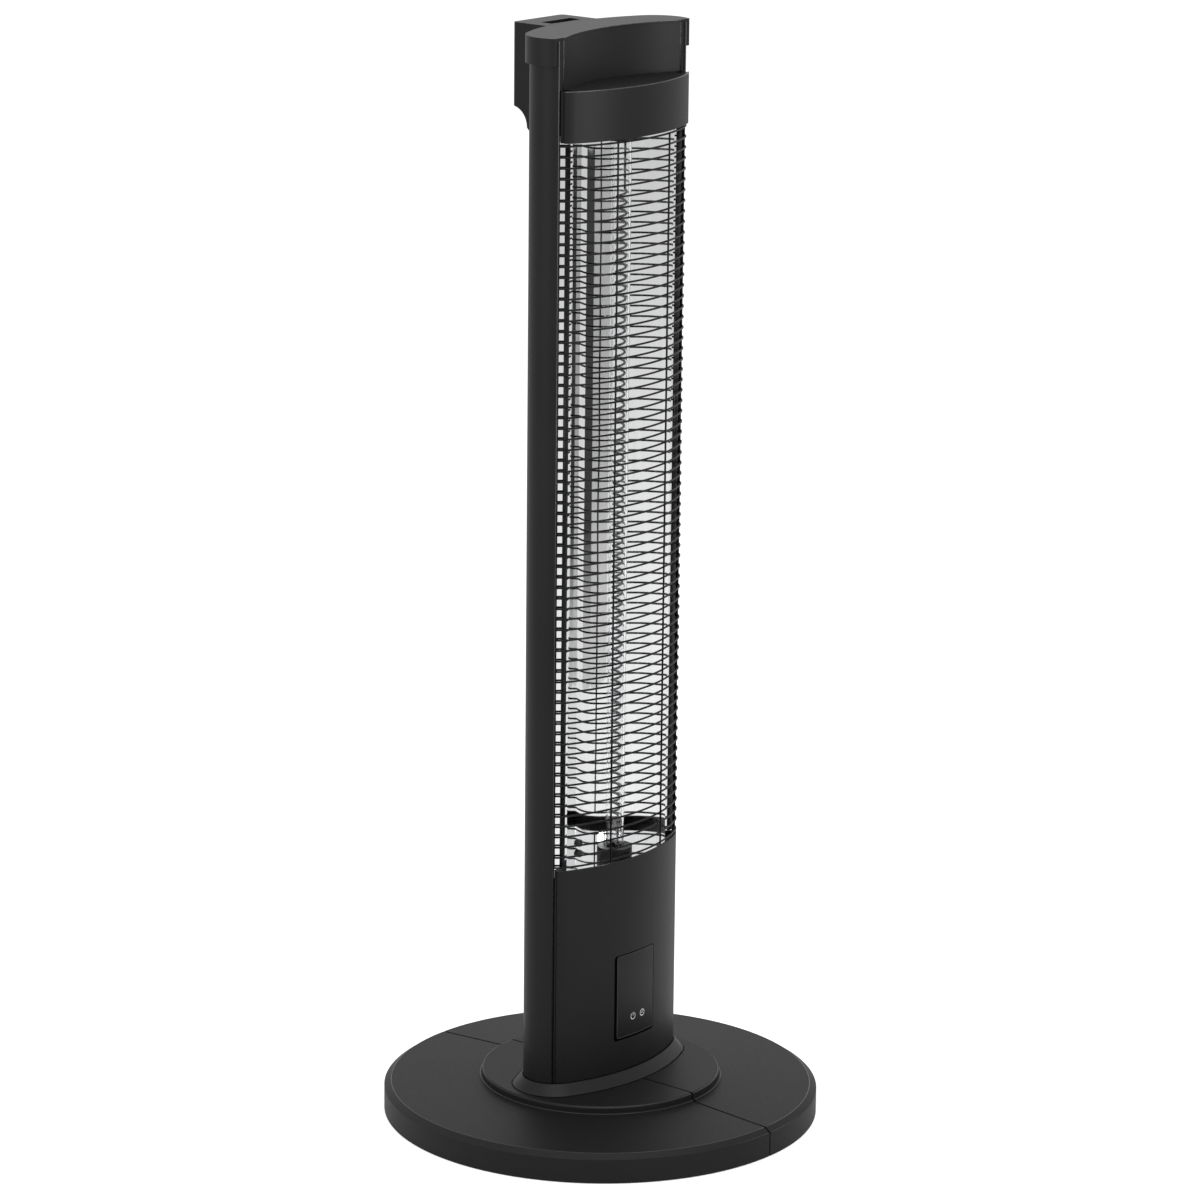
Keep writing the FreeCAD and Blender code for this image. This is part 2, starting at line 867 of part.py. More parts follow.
screw_z = mirror_low + d.mirror_screw_height
screw_seat = d.mirror_screw_head_radius * d.mirror_screw_head_radius / mirror_radius
screw_y = mirror_y - screw_seat - d.mirror_screw_head_height
head = rod(d.mirror_screw_head_radius, d.mirror_screw_head_height, ZERO, screw_y, screw_z, "back")
shank = rod(d.mirror_screw_radius, back_y + d.mirror_screw_grip - screw_y, ZERO, screw_y, screw_z, "back")
keep(fuse([head, shank]), "reflector_screw")

# Ceramic cups and quartz tube

tube_low = mirror_low + d.cup_floor
tube_high = mirror_high - d.cup_floor


def tube_cup(floor, up):
    """Cup on an end plate, with a spigot through the plate; up is 1 for the lower cup."""
    body = doc.addObject("PartDesign::Body", "cup")
    profile = new_sketch(body, "XZ_Plane")
    bore = d.tube_radius + d.cup_clearance
    corners = [
        (ZERO, floor - d.spigot_length * up),
        (d.spigot_radius, floor - d.spigot_length * up),
        (d.spigot_radius, floor),
        (d.cup_radius, floor),
        (d.cup_radius, floor + d.cup_height * up),
        (bore, floor + d.cup_height * up),
        (bore, floor + d.cup_floor * up),
        (ZERO, floor + d.cup_floor * up),
    ]
    outline(profile, corners if up > 0 else corners[::-1])
    revolve(body, profile)
    bind(body, "Placement.Base.y", tube_y)
    return body


keep(group([tube_cup(mirror_low, 1), tube_cup(mirror_high, -1)]), "tube_holders")

quartz = new_body("quartz_tube")
sketch = new_sketch(quartz, "XY_Plane", tube_low)
circle(sketch, ZERO, tube_y, d.tube_radius)
circle(sketch, ZERO, tube_y, d.tube_radius - d.tube_wall)
pad(quartz, sketch, tube_high - tube_low)

# Wound wire: half turns as pairs of arcs, with straight ends


def arc_edge(start, along, end):
    """Arc from a point and its direction to an end point."""
    chord = end - start
    side = along - chord * (along.dot(chord) / chord.dot(chord))
    if side.Length < 1.0e-9:
        return Part.LineSegment(start, end).toShape()
    half_turn = along.getAngle(chord)
    side.normalize()
    middle = (start + end) * HALF + side * (chord.Length * HALF * math.tan(half_turn * HALF))
    return Part.Arc(start, middle, end).toShape()


def two_arcs(start, along, end, onward):
    """Two arcs that leave along one direction and arrive along another."""
    reach = end - start
    total = along + onward
    spread = TWICE * (1.0 - along.dot(onward))
    pull = reach.dot(total)
    if spread < 1.0e-9:
        length = reach.dot(reach) / (TWICE * pull)
    else:
        length = (math.sqrt(pull ** 2 + spread * reach.dot(reach)) - pull) / spread
    joint = (start + along * length + end - onward * length) * HALF
    back = arc_edge(end, onward * -1.0, joint)
    return [arc_edge(start, along, joint), Part.Arc(joint, back.valueAt(
        (back.FirstParameter + back.LastParameter) * HALF), end).toShape()]


def winding(centre_x, centre_y, radius, wire, bend, low, high, turn_low, turn_high, turns):
    """Three-sided wire wound upwards between two levels, with straight ends to low and high."""
    pitch = (turn_high - turn_low) / turns
    rise = math.atan2(pitch, TWICE * math.pi * radius)
    points = []
    runs = []
    for step in range(turns * HALF_TURNS + 1):
        angle = TWICE * math.pi * step / HALF_TURNS
        points.append(FreeCAD.Vector(centre_x + radius * math.cos(angle),
                                     centre_y + radius * math.sin(angle),
                                     turn_low + pitch * step / HALF_TURNS))
        runs.append(FreeCAD.Vector(-math.sin(angle) * math.cos(rise),
                                   math.cos(angle) * math.cos(rise), math.sin(rise)))
    up = FreeCAD.Vector(0, 0, 1)
    first = points[0] - runs[0] * bend - up * bend
    last = points[-1] + runs[-1] * bend + up * bend
    foot_point = FreeCAD.Vector(first.x, first.y, low)
    head_point = FreeCAD.Vector(last.x, last.y, high)
    edges = [Part.LineSegment(foot_point, first).toShape()]
    edges += two_arcs(first, up, points[0], runs[0])
    for index in range(len(points) - 1):
        edges += two_arcs(points[index], runs[index], points[index + 1], runs[index + 1])
    edges += two_arcs(points[-1], runs[-1], last, up)
    edges.append(Part.LineSegment(last, head_point).toShape())
    path = Part.Wire(edges)
    turns_share = (0.0, 1.0 / 3.0, 2.0 / 3.0, 0.0)
    section = Part.makePolygon([
        foot_point + FreeCAD.Vector(math.cos(TWICE * math.pi * share),
                                    math.sin(TWICE * math.pi * share), 0) * wire
        for share in turns_share])
    area = Part.Face(section).Area
    solid = path.makePipeShell([section], True, False)
    marks = []
    along = 0.0
    for edge in edges:
        for share in (0.0, 0.25, 0.5, 0.75):
            span = edge.LastParameter - edge.FirstParameter
            marks.append((along + edge.Length * share, edge.valueAt(edge.FirstParameter + span * share)))
        along += edge.Length
    turn_length = math.pi * radius
    gaps = [(a[1] - b[1]).Length for i, a in enumerate(marks) for b in marks[i + 1:i + 90]
            if b[0] - a[0] > turn_length]
    gap = min(gaps) - wire * TWICE
    print("winding: least gap to itself %.2f, volume share %.4f"
          % (gap, solid.Volume / (along * area)))
    return solid


shaped("heating_spiral", winding(
    0.0, tube_y.value, d.spiral_radius.value, d.spiral_wire.value, d.spiral_bend.value,
    tube_low.value, tube_high.value, (tube_low + d.spiral_lower_lead).value,
    (tube_high - d.spiral_upper_lead).value, SPIRAL_TURNS))

# Wire guard: level wires bent in chords round the plan, uprights in front of them, bars behind
# their ends, and flat strips on the lips of the trough

wire_plan = Plan(d.guard_proud - d.guard_wire * HALF)
face_turn = math.asin(d.end_offset.value / arc_distance.value)
end_turn = math.asin(d.guard_end_cut.value / wire_plan.end.value)


def guard_spots():
    """Right half of a wire's bends: centre of the arc, its radius, and the direction outwards."""
    spots = []
    for step in range(1, FACE_CHORDS + 1, 2):
        spots.append((0.0, front_centre.value, wire_plan.face.value, face_turn * step / FACE_CHORDS))
    side_turn = math.pi * HALF - end_turn
    for step in range(1, END_CHORDS + 1):
        turn = face_turn + (side_turn - face_turn) * step / END_CHORDS
        spots.append((d.end_offset.value, d.column_shift.value, wire_plan.end.value, turn))
    return spots


def spot_point(spot, outwards, side, level):
    centre_x, centre_y, radius, turn = spot
    x = centre_x + (radius + outwards) * math.sin(turn)
    y = centre_y - (radius + outwards) * math.cos(turn)
    return FreeCAD.Vector(x * side, y, level)


guard_low = (cover_top + d.guard_first).value
guard_pitch = (d.guard_height - d.guard_first - d.guard_last).value / (GUARD_WIRES - 1)
half_wire = d.guard_wire.value * HALF
spots = guard_spots()
rim = [spot_point(spot, half_wire, -1, guard_low - half_wire) for spot in reversed(spots)]
rim += [spot_point(spot, half_wire, 1, guard_low - half_wire) for spot in spots]
rim += [spot_point(spot, -half_wire, 1, guard_low - half_wire) for spot in reversed(spots)]
rim += [spot_point(spot, -half_wire, -1, guard_low - half_wire) for spot in spots]
level_wire = Part.Face(Part.makePolygon(rim + rim[:1])).extrude(
    FreeCAD.Vector(0, 0, d.guard_wire.value))
guard = []
for index in range(GUARD_WIRES):
    guard.append(level_wire.translated(FreeCAD.Vector(0, 0, guard_pitch * index)))
guard_span = guard_pitch * (GUARD_WIRES - 1) + d.guard_wire.value


def guard_bar(first, second, share, width, thickness, side, front):
    """Upright bar on one chord of the wires: before it where front is 1, behind it where -1."""
    start = spot_point(first, half_wire * front, side, guard_low - half_wire)
    end = spot_point(second, half_wire * front, side, guard_low - half_wire)
    run = end - start
    middle = start + run * share
    run.normalize()
    away = FreeCAD.Vector(0, 0, 1).cross(run) * (-side * front)
    corners = [middle - run * (width * HALF), middle + run * (width * HALF)]
    corners += [corners[1] + away * thickness, corners[0] + away * thickness]
    return Part.Face(Part.makePolygon(corners + corners[:1])).extrude(
        FreeCAD.Vector(0, 0, guard_span))


upright_from = spot_point(spots[0], half_wire, 1, 0).x
upright_to = spot_point(spots[1], half_wire, 1, 0).x
upright_share = (d.guard_upright.value - upright_from) / (upright_to - upright_from)
edge_share = 0.88
end_from = spot_point(spots[-2], -half_wire, 1, 0)
end_to = spot_point(spots[-1], -half_wire, 1, 0)
strip_front = (lip_y - d.guard_strip_sheet).value
strip_from = (d.mirror_half_width + d.guard_strip_gap).value
strip_share = (strip_front - end_from.y) / (end_to.y - end_from.y)
strip_to = end_from.x + (end_to.x - end_from.x) * strip_share
for side in (-1, 1):
    guard.append(guard_bar(spots[0], spots[1], upright_share, d.guard_upright_wire.value,
                           d.guard_upright_wire.value, side, 1))
    guard.append(Part.makeBox(strip_to - strip_from, d.guard_strip_sheet.value, guard_span, FreeCAD.Vector(
        min(strip_from * side, strip_to * side), strip_front, guard_low - half_wire)))
    guard.append(guard_bar(spots[-2], spots[-1], edge_share, d.guard_edge_wire.value * TWICE,
                           d.guard_edge_wire.value, side, -1))
shaped("guard_grille", Part.makeCompound(guard))

# Visor: curved wall with a shelf that reaches back under the recess panel

visor_plan = Plan(d.visor_proud)
visor_inside = Plan(d.visor_proud - d.shell_wall)
visor = new_body("visor")
sketch = new_sketch(visor, "XY_Plane", visor_low)
outline(sketch, front_band(visor_plan, visor_inside, d.visor_edge))
pad(visor, sketch, d.visor_height)
front_line = d.column_shift - d.visor_edge
shelf_back = d.column_shift + d.visor_shelf_back
sketch = new_sketch(visor, "XY_Plane", visor_top - d.visor_sheet)
outline(sketch, [
    (-visor_plan.end_x(d.visor_edge), front_line),
    (-visor_plan.x, visor_plan.front, visor_plan.end, 1),
    (visor_plan.x, visor_plan.front, visor_plan.face, 1),
    (visor_plan.end_x(d.visor_edge), front_line, visor_plan.end, 1),
    (d.visor_shelf_half_width, front_line),
    (d.visor_shelf_half_width, shelf_back),
    (-d.visor_shelf_half_width, shelf_back),
    (-d.visor_shelf_half_width, front_line),
])
pad(visor, sketch, d.visor_sheet)

# Recess panel: hollow curve between visor and cap, with slanted ears behind the groove

recess_y = d.column_shift - d.recess_edge
recess_radius = (d.recess_half_width * d.recess_half_width + d.recess_depth * d.recess_depth) / (
    d.recess_depth * TWICE)
ear = d.recess_ear / DIAGONAL
ear_back = d.recess_sheet / DIAGONAL
recess_back = recess_radius + d.recess_sheet
recess_centre = recess_y + d.recess_depth - recess_radius
inner_x = d.recess_half_width - d.recess_sheet
inner_y = recess_centre + root(recess_back * recess_back - inner_x * inner_x)

recess = new_body("recess_panel")
sketch = new_sketch(recess, "XY_Plane", visor_top)
outline(sketch, [
    (d.recess_half_width, recess_y, recess_radius, -1),
    (d.recess_half_width + ear, recess_y + ear),
    (d.recess_half_width + ear - ear_back, recess_y + ear + ear_back),
    (inner_x, inner_y),
    (-inner_x, inner_y, recess_back, 1),
    (-(d.recess_half_width + ear - ear_back), recess_y + ear + ear_back),
    (-(d.recess_half_width + ear), recess_y + ear),
    (-d.recess_half_width, recess_y),
])
pad(recess, sketch, d.recess_height)

# Cap: plate with the hollow front edge, and a skirt round the shell

cap_plan = Plan(d.cap_overhang)
cap_inside = Plan(d.cap_clearance)
cap = new_body("top_cap")
sketch = new_sketch(cap, "XY_Plane", cap_under)
outline(sketch, [
    (cap_plan.end_x(d.recess_edge), recess_y),
    (cap_plan.x, cap_plan.back, cap_plan.end, 1),
    (-cap_plan.x, cap_plan.back, cap_plan.face, 1),
    (-cap_plan.end_x(d.recess_edge), recess_y, cap_plan.end, 1),
    (-d.recess_half_width, recess_y),
    (d.recess_half_width, recess_y, recess_radius, -1),
])
pad(cap, sketch, d.cap_sheet)
sketch = new_sketch(cap, "XY_Plane", cap_under - d.cap_skirt)
outline(sketch, rear_band(cap_plan, cap_inside, d.recess_edge))
pad(cap, sketch, d.cap_skirt)

# Holder for a remote control: a deep pocket behind the cap, coved underneath

holder_y = d.column_shift + d.holder_back
holder_low = cap_top - d.holder_drop - d.holder_cove - d.holder_neck
holder_plan = Plan(d.cap_overhang + d.holder_gap)
shell_plan = Plan(d.holder_gap)
holder = new_body("remote_holder")
sketch = new_sketch(holder, "XY_Plane", holder_low)
outline(sketch, [
    (d.holder_half_width, holder_plan.back_y(d.holder_half_width), holder_plan.face, -1),
    (d.holder_half_width, holder_y - d.holder_corner),
    (d.holder_half_width - d.holder_corner, holder_y, d.holder_corner, 1),
    (-(d.holder_half_width - d.holder_corner), holder_y),
    (-d.holder_half_width, holder_y - d.holder_corner, d.holder_corner, 1),
    (-d.holder_half_width, holder_plan.back_y(d.holder_half_width)),
])
pad(holder, sketch, cap_top - holder_low)
sketch = new_sketch(holder, "XY_Plane", holder_low)
outline(sketch, [
    (-d.holder_half_width, shell_plan.back_y(d.holder_half_width)),
    (d.holder_half_width, shell_plan.back_y(d.holder_half_width), shell_plan.face, -1),
    (d.holder_half_width, holder_plan.back_y(d.holder_half_width)),
    (-d.holder_half_width, holder_plan.back_y(d.holder_half_width), holder_plan.face, 1),
])
pad(holder, sketch, cap_under - d.cap_skirt - d.holder_gap - holder_low)
cove = new_sketch(holder, "YZ_Plane", -(d.holder_half_width + d.overrun))
cove_top = cap_top - d.holder_drop
cove_low = cove_top - d.holder_cove
neck_y = holder_y - d.holder_cove
outline(cove, [
    (neck_y - d.holder_neck, cove_low - d.holder_neck - d.overrun),
    (holder_y + d.overrun, cove_low - d.holder_neck - d.overrun),
    (holder_y + d.overrun, cove_top),
    (holder_y, cove_top),
    (neck_y, cove_low, d.holder_cove, 1),
    (neck_y - d.holder_neck, cove_low - d.holder_neck),
])
pocket(holder, cove, (d.holder_half_width + d.overrun) * TWICE, along_normal=True)
slot = new_sketch(holder, "XY_Plane", cap_top + d.overrun)
slot_y = d.column_shift + d.slot_front
rectangle(slot, -d.slot_half_width, d.slot_half_width, slot_y, slot_y + d.slot_depth)
pocket(holder, slot, d.slot_drop + d.overrun)

# Bracket of the power board, standing on the foot plate

bracket_y = d.column_shift + d.bracket_back
bracket_front = bracket_y - d.bracket_sheet
bracket = new_body("board_bracket")
profile = new_sketch(bracket, "YZ_Plane", -d.bracket_half_width)
outline(profile, [
    (bracket_y - d.bracket_flange, plate_top),
    (bracket_y, plate_top),
    (bracket_y, plate_top + d.bracket_height),
    (bracket_front, plate_top + d.bracket_height),
    (bracket_front, plate_top + d.bracket_sheet),
    (bracket_y - d.bracket_flange, plate_top + d.bracket_sheet),
])
pad(bracket, profile, d.bracket_half_width * TWICE)

board_low = plate_top + d.board_base
board_high = board_low + d.board_height
board_back = bracket_front - d.standoff_length
board_front = board_back - d.board_sheet
posts = []
for x_side in (-1, 1):
    for level in (board_low + d.standoff_inset, board_high - d.standoff_inset):
        posts.append(hex_bar(d.standoff_radius, d.standoff_length,
                             (d.board_half_width - d.standoff_inset) * x_side, board_back, level,
                             "back"))
keep(group(posts), "board_standoffs")

left_edge = -d.board_half_width + d.component_margin
relay_low = board_high - d.component_margin - d.relay_height
relay_two = left_edge + d.relay_width + d.relay_gap
coil_low = board_low + d.component_margin
capacitor_x = d.board_half_width - d.component_margin - d.capacitor_radius
keep(fuse([
    box(-d.board_half_width, d.board_half_width, board_front, board_back, board_low, board_high),
    box(left_edge, left_edge + d.relay_width, board_front - d.relay_depth, board_front,
        relay_low, relay_low + d.relay_height),
    box(relay_two, relay_two + d.relay_width, board_front - d.relay_depth, board_front,
        relay_low, relay_low + d.relay_height),
    box(left_edge, left_edge + d.transformer_width, board_front - d.transformer_depth, board_front,
        coil_low, coil_low + d.transformer_height),
    rod(d.capacitor_radius, d.capacitor_length, capacitor_x, board_front - d.capacitor_length,
        coil_low + d.capacitor_radius, "back"),
]), "control_board")

# Terminal block on the back of the bracket

terminal_low = plate_top + d.terminal_base
terminal_high = terminal_low + d.terminal_height
keep(box(-d.terminal_half_width, d.terminal_half_width, bracket_y, bracket_y + d.terminal_depth,
         terminal_low, terminal_high), "terminal_block")

# Heat shield across the column, under the reflector

shield_top = mirror_low - d.shield_drop + d.mirror_base_drop
shield = new_body("heat_shield")
sketch = new_sketch(shield, "XY_Plane", shield_top - d.shield_sheet)
outline(sketch, face_plate(column_fit, d.column_shift + d.shield_back))
pad(shield, sketch, d.shield_sheet)

# Leads of the heating tube: straight runs and bends, from each spigot to the terminal block


def lead(points, bend, radius):
    """Flat-sided lead through points, with one bend radius."""
    edges = []
    start = points[0]
    for index in range(1, len(points) - 1):
        before = points[index - 1] - points[index]
        after = points[index + 1] - points[index]
        before.normalize()
        after.normalize()
        half_angle = before.getAngle(after) * HALF
        setback = bend / math.tan(half_angle)
        entry = points[index] + before * setback
        leave = points[index] + after * setback
        inwards = before + after
        inwards.normalize()
        middle = points[index] + inwards * (bend / math.sin(half_angle) - bend)
        edges.append(Part.LineSegment(start, entry).toShape())
        edges.append(Part.Arc(entry, middle, leave).toShape())
        start = leave
    edges.append(Part.LineSegment(start, points[-1]).toShape())
    path = Part.Wire(edges)
    section = Part.makePolygon([points[0] + FreeCAD.Vector(x * radius, y * radius, 0)
                                for x, y in ((-1, -1), (1, -1), (1, 1), (-1, 1), (-1, -1))])
    return path.makePipeShell([section], True, False)


lead_y = d.column_shift + d.lead_back
upper_end = mirror_high + d.spigot_length
lower_end = mirror_low - d.spigot_length
upper_lead = lead([
    FreeCAD.Vector(0, tube_y.value, upper_end.value),
    FreeCAD.Vector(0, tube_y.value, (upper_end + d.lead_rise).value),
    FreeCAD.Vector(-d.lead_spread.value, lead_y.value, (upper_end + d.lead_rise).value),
    FreeCAD.Vector(-d.lead_spread.value, lead_y.value, terminal_high.value),
], d.lead_upper_bend.value, d.lead_radius.value)
lower_lead = lead([
    FreeCAD.Vector(0, tube_y.value, lower_end.value),
    FreeCAD.Vector(0, tube_y.value, (lower_end - d.lead_drop).value),
    FreeCAD.Vector(d.lead_spread.value, lead_y.value, (lower_end - d.lead_drop).value),
    FreeCAD.Vector(d.lead_spread.value, lead_y.value, terminal_high.value),
], d.lead_lower_bend.value, d.lead_radius.value)
shaped("element_leads", Part.makeCompound([upper_lead, lower_lead]))

# Over-heat switch on the back wall of the trough

cutout_z = mirror_low + d.cutout_height
keep(box(-d.cutout_half_width, d.cutout_half_width, back_y, back_y + d.cutout_depth,
         cutout_z - d.cutout_half_height, cutout_z + d.cutout_half_height), "thermal_cutout")

# Mains rocker: frame through the shell's window, rocker on two pins, at rest in its off position

pivot_y = shell_back - d.rocker_pivot_depth
frame_front = shell_back - d.frame_depth
pin_hole = d.rocker_pin_radius + d.rocker_pin_clearance

frame = new_body("rocker_frame")
sketch = new_sketch(frame, "XZ_Plane", -(shell_back + d.frame_flange_sheet))
flange_x = frame_x + d.frame_flange
flange_z = frame_z + d.frame_flange
rectangle(sketch, -flange_x, flange_x, rocker_z - flange_z, rocker_z + flange_z)
pad(frame, sketch, d.frame_flange_sheet)
sketch = new_sketch(frame, "XZ_Plane", -(shell_back + d.frame_flange_sheet))
rectangle(sketch, -frame_x, frame_x, rocker_z - frame_z, rocker_z + frame_z)
pad(frame, sketch, d.frame_flange_sheet + d.frame_depth)
sketch = new_sketch(frame, "XZ_Plane", -(shell_back + d.frame_flange_sheet + d.overrun))
rectangle(sketch, -frame_inside_x, frame_inside_x, rocker_z - frame_inside_z, rocker_z + frame_inside_z)
pocket(frame, sketch, d.frame_flange_sheet + d.frame_depth - d.frame_floor + d.overrun,
       along_normal=True)
sketch = new_sketch(frame, "YZ_Plane", -(frame_x + d.overrun))
circle(sketch, pivot_y, rocker_z, pin_hole)
pocket(frame, sketch, (frame_x + d.overrun) * TWICE, along_normal=True)

rocker = new_body("main_rocker")
profile = new_sketch(rocker, "YZ_Plane", -d.rocker_half_width)
outline(profile, [
    (-d.rocker_hub_depth, -d.rocker_hub_half_height),
    (d.rocker_face - d.rocker_rim, -d.rocker_half_height),
    (d.rocker_face, -d.rocker_half_height),
    (d.rocker_face, d.rocker_half_height),
    (d.rocker_face - d.rocker_rim, d.rocker_half_height),
    (-d.rocker_hub_depth, d.rocker_hub_half_height),
])
pad(rocker, profile, d.rocker_half_width * TWICE)
profile = new_sketch(rocker, "YZ_Plane", -(d.rocker_half_width + d.rocker_pin_length))
circle(profile, ZERO, ZERO, d.rocker_pin_radius)
pad(rocker, profile, (d.rocker_half_width + d.rocker_pin_length) * TWICE)
rocker.Placement.Rotation = FreeCAD.Rotation(FreeCAD.Vector(1, 0, 0), ROCKER_TILT)
place(rocker, ZERO, pivot_y, rocker_z)

# Inlet gland: flange outside, body through the shell, round bore

gland = new_body("cable_gland")
for half_width, low_y, high_y in (
        (d.gland_half_width + d.gland_flange, shell_back, shell_back + d.gland_flange_sheet),
        (d.gland_half_width, shell_back - d.gland_depth, shell_back + d.gland_flange_sheet)):
    sketch = new_sketch(gland, "XZ_Plane", -high_y)
    rectangle(sketch, -half_width, half_width, gland_z - half_width, gland_z + half_width)
    pad(gland, sketch, high_y - low_y)
sketch = new_sketch(gland, "XZ_Plane", -(shell_back + d.gland_flange_sheet + d.overrun))
circle(sketch, ZERO, gland_z, d.gland_bore)
pocket(gland, sketch, d.gland_flange_sheet + d.gland_depth + d.overrun * TWICE, along_normal=True)

# Tip-over switch: housing under the foot plate, sprung rod that the floor pushes in

tip_low = plateau_top - d.tip_drop
tip_floor = tip_low + d.tip_wall
tip_ceiling = plateau_top - d.tip_wall
collar_low = tip_floor + d.tip_travel + d.tip_stop_gap
collar_high = collar_low + d.tip_collar_height
keep(cut(
    box(-d.tip_half_width, d.tip_half_width, -d.tip_half_depth, d.tip_half_depth, tip_low, plateau_top),
    fuse([
        box(-d.tip_bore, d.tip_bore, -d.tip_bore, d.tip_bore, tip_floor, tip_ceiling),
        rod(d.tip_rod_radius + d.tip_rod_gap, d.tip_wall + d.overrun * TWICE, ZERO, ZERO,
            tip_low - d.overrun),
    ])), "tip_switch_housing")
keep(fuse([
    rod(d.tip_rod_radius, collar_high - d.tip_floor_gap, ZERO, ZERO, d.tip_floor_gap),
    box(-d.tip_collar, d.tip_collar, -d.tip_collar, d.tip_collar, collar_low, collar_high),
]), "tip_plunger")
# Checks before anything is written

doc.recompute()
problems = []
for item in doc.Objects:
    if "Invalid" in item.State or "Error" in item.State:
        problems.append("%s: %s" % (item.Label, item.State))
for item in pieces:
    shape = item.Shape
    if shape.isNull() or not shape.isValid() or shape.Volume <= 0:
        problems.append("%s: bad shape" % item.Label)
    elif len(shape.Solids) == 0:
        problems.append("%s: no solid" % item.Label)
if problems:
    raise RuntimeError("; ".join(problems))

os.makedirs("parts", exist_ok=True)
for item in pieces:
    item.Shape.exportStep(os.path.join("parts", item.Label + ".step"))
print("%d pieces, %d solids" % (len(pieces), sum(len(item.Shape.Solids) for item in pieces)))
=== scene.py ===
import math

import bpy
from mathutils import Matrix, Vector
from mathutils.bvhtree import BVHTree


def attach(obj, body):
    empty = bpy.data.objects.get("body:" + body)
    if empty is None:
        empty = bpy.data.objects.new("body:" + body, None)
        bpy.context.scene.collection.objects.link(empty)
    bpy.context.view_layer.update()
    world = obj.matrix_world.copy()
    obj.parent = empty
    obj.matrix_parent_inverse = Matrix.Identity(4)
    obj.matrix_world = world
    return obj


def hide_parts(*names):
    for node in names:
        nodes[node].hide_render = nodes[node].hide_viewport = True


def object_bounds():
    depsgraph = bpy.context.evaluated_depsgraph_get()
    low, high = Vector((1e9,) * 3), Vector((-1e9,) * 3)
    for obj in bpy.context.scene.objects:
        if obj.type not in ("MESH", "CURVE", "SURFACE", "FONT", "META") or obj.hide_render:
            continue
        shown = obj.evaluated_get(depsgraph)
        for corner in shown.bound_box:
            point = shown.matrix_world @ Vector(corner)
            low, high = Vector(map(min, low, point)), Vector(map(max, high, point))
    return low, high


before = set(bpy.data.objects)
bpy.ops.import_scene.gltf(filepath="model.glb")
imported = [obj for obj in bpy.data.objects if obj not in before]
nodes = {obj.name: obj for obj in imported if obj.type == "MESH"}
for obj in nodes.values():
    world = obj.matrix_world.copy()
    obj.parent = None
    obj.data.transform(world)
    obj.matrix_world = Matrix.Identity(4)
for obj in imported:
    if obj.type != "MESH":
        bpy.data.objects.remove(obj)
CAD_LOW, CAD_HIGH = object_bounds()

# Plan of the column in metres: two round ends joined by a wide front arc

MM = 0.001
SHIFT_Y = 2 * MM
END_X = 64.2 * MM
END_R = 28 * MM
HALF_DEPTH = 43 * MM
FACE_R = (END_X ** 2 + HALF_DEPTH ** 2 - END_R ** 2) / (2 * (HALF_DEPTH - END_R))
FRONT_C = SHIFT_Y - HALF_DEPTH + FACE_R
FACE_TURN = math.asin(END_X / (FACE_R - END_R))

# Guard

WIRE_R = 0.9 * MM
WIRE_INSET = 0.6 * MM
WIRE_COUNT = 69
WIRE_PITCH = 9.6 * MM
WIRE_FIRST_Z = 253.4 * MM
WIRE_END_CUT = 17.2 * MM
WIRE_SIDES = 10
END_STEPS = 6
FACE_STEPS = 28
UPRIGHT_X = 35.3 * MM
UPRIGHT_INSET = -1.2 * MM
STRIP_NEAR_X = 73.5 * MM
STRIP_FAR_X = 79.7 * MM
STRIP_FRONT_Y = -17 * MM
STRIP_BACK_Y = -16 * MM
STRIP_EDGE = 0.25 * MM
EDGE_BAR_AT = (85.6 * MM, -14.5 * MM)
EDGE_BAR_R = 0.7 * MM

# Trim in the groove between the shell and the front

TRIM_R = 26.9 * MM
TRIM_ON_LIP_R = 23.85 * MM
TRIM_ON_RAIL_R = 23.0 * MM
TRIM_GAP = 0.8 * MM
TRIM_CHAMFER = 0.3 * MM
TRIM_STEPS = 5
SHELL_EDGE_Y = -14 * MM
COVER_EDGE_Y = -17.2 * MM
VISOR_EDGE_Y = -19.3 * MM
VISOR_TOP = 954 * MM
CAP_UNDER = 997.5 * MM
SHELL_FOOT = 42 * MM
EAR_TRIM = [(81.0 * MM, -13.6 * MM), (85.2 * MM, -13.6 * MM),
            (85.2 * MM, -12.3 * MM), (81.0 * MM, -12.3 * MM)]

# Runs of the trim: foot, top, edge of the front part and radius that the trim sits on
TRIM_RUNS = ((42.5 * MM, 242.8 * MM, COVER_EDGE_Y, TRIM_ON_RAIL_R),
             (242.8 * MM, 250 * MM, COVER_EDGE_Y, TRIM_ON_LIP_R),
             (909 * MM, 915.2 * MM, VISOR_EDGE_Y, TRIM_ON_LIP_R),
             (915.2 * MM, VISOR_TOP, VISOR_EDGE_Y, TRIM_ON_RAIL_R))

# Mirror trough

MIRROR_HALF_WIDTH = 70 * MM
MIRROR_FRONT_Y = SHIFT_Y - 18 * MM
MIRROR_BACK_Y = SHIFT_Y + 27 * MM
MIRROR_SHEET = 0.8 * MM
MIRROR_LOW = 243 * MM
MIRROR_HIGH = 915 * MM
MIRROR_STEPS = 120
MIRROR_ARC_SHARE = 0.3
LIP_X = 79.858 * MM
LIP_RUN = 5.657 * MM

# Heating spiral

TUBE_Y = SHIFT_Y - 15.8 * MM
SPIRAL_R = 4.3 * MM
SPIRAL_WIRE = 1.15 * MM
SPIRAL_TURNS = 60
SPIRAL_STEPS = 20
SPIRAL_SIDES = 6
SPIRAL_LOW = 283 * MM
SPIRAL_HIGH = 858 * MM
TUBE_LOW = 246 * MM
TUBE_HIGH = 912 * MM
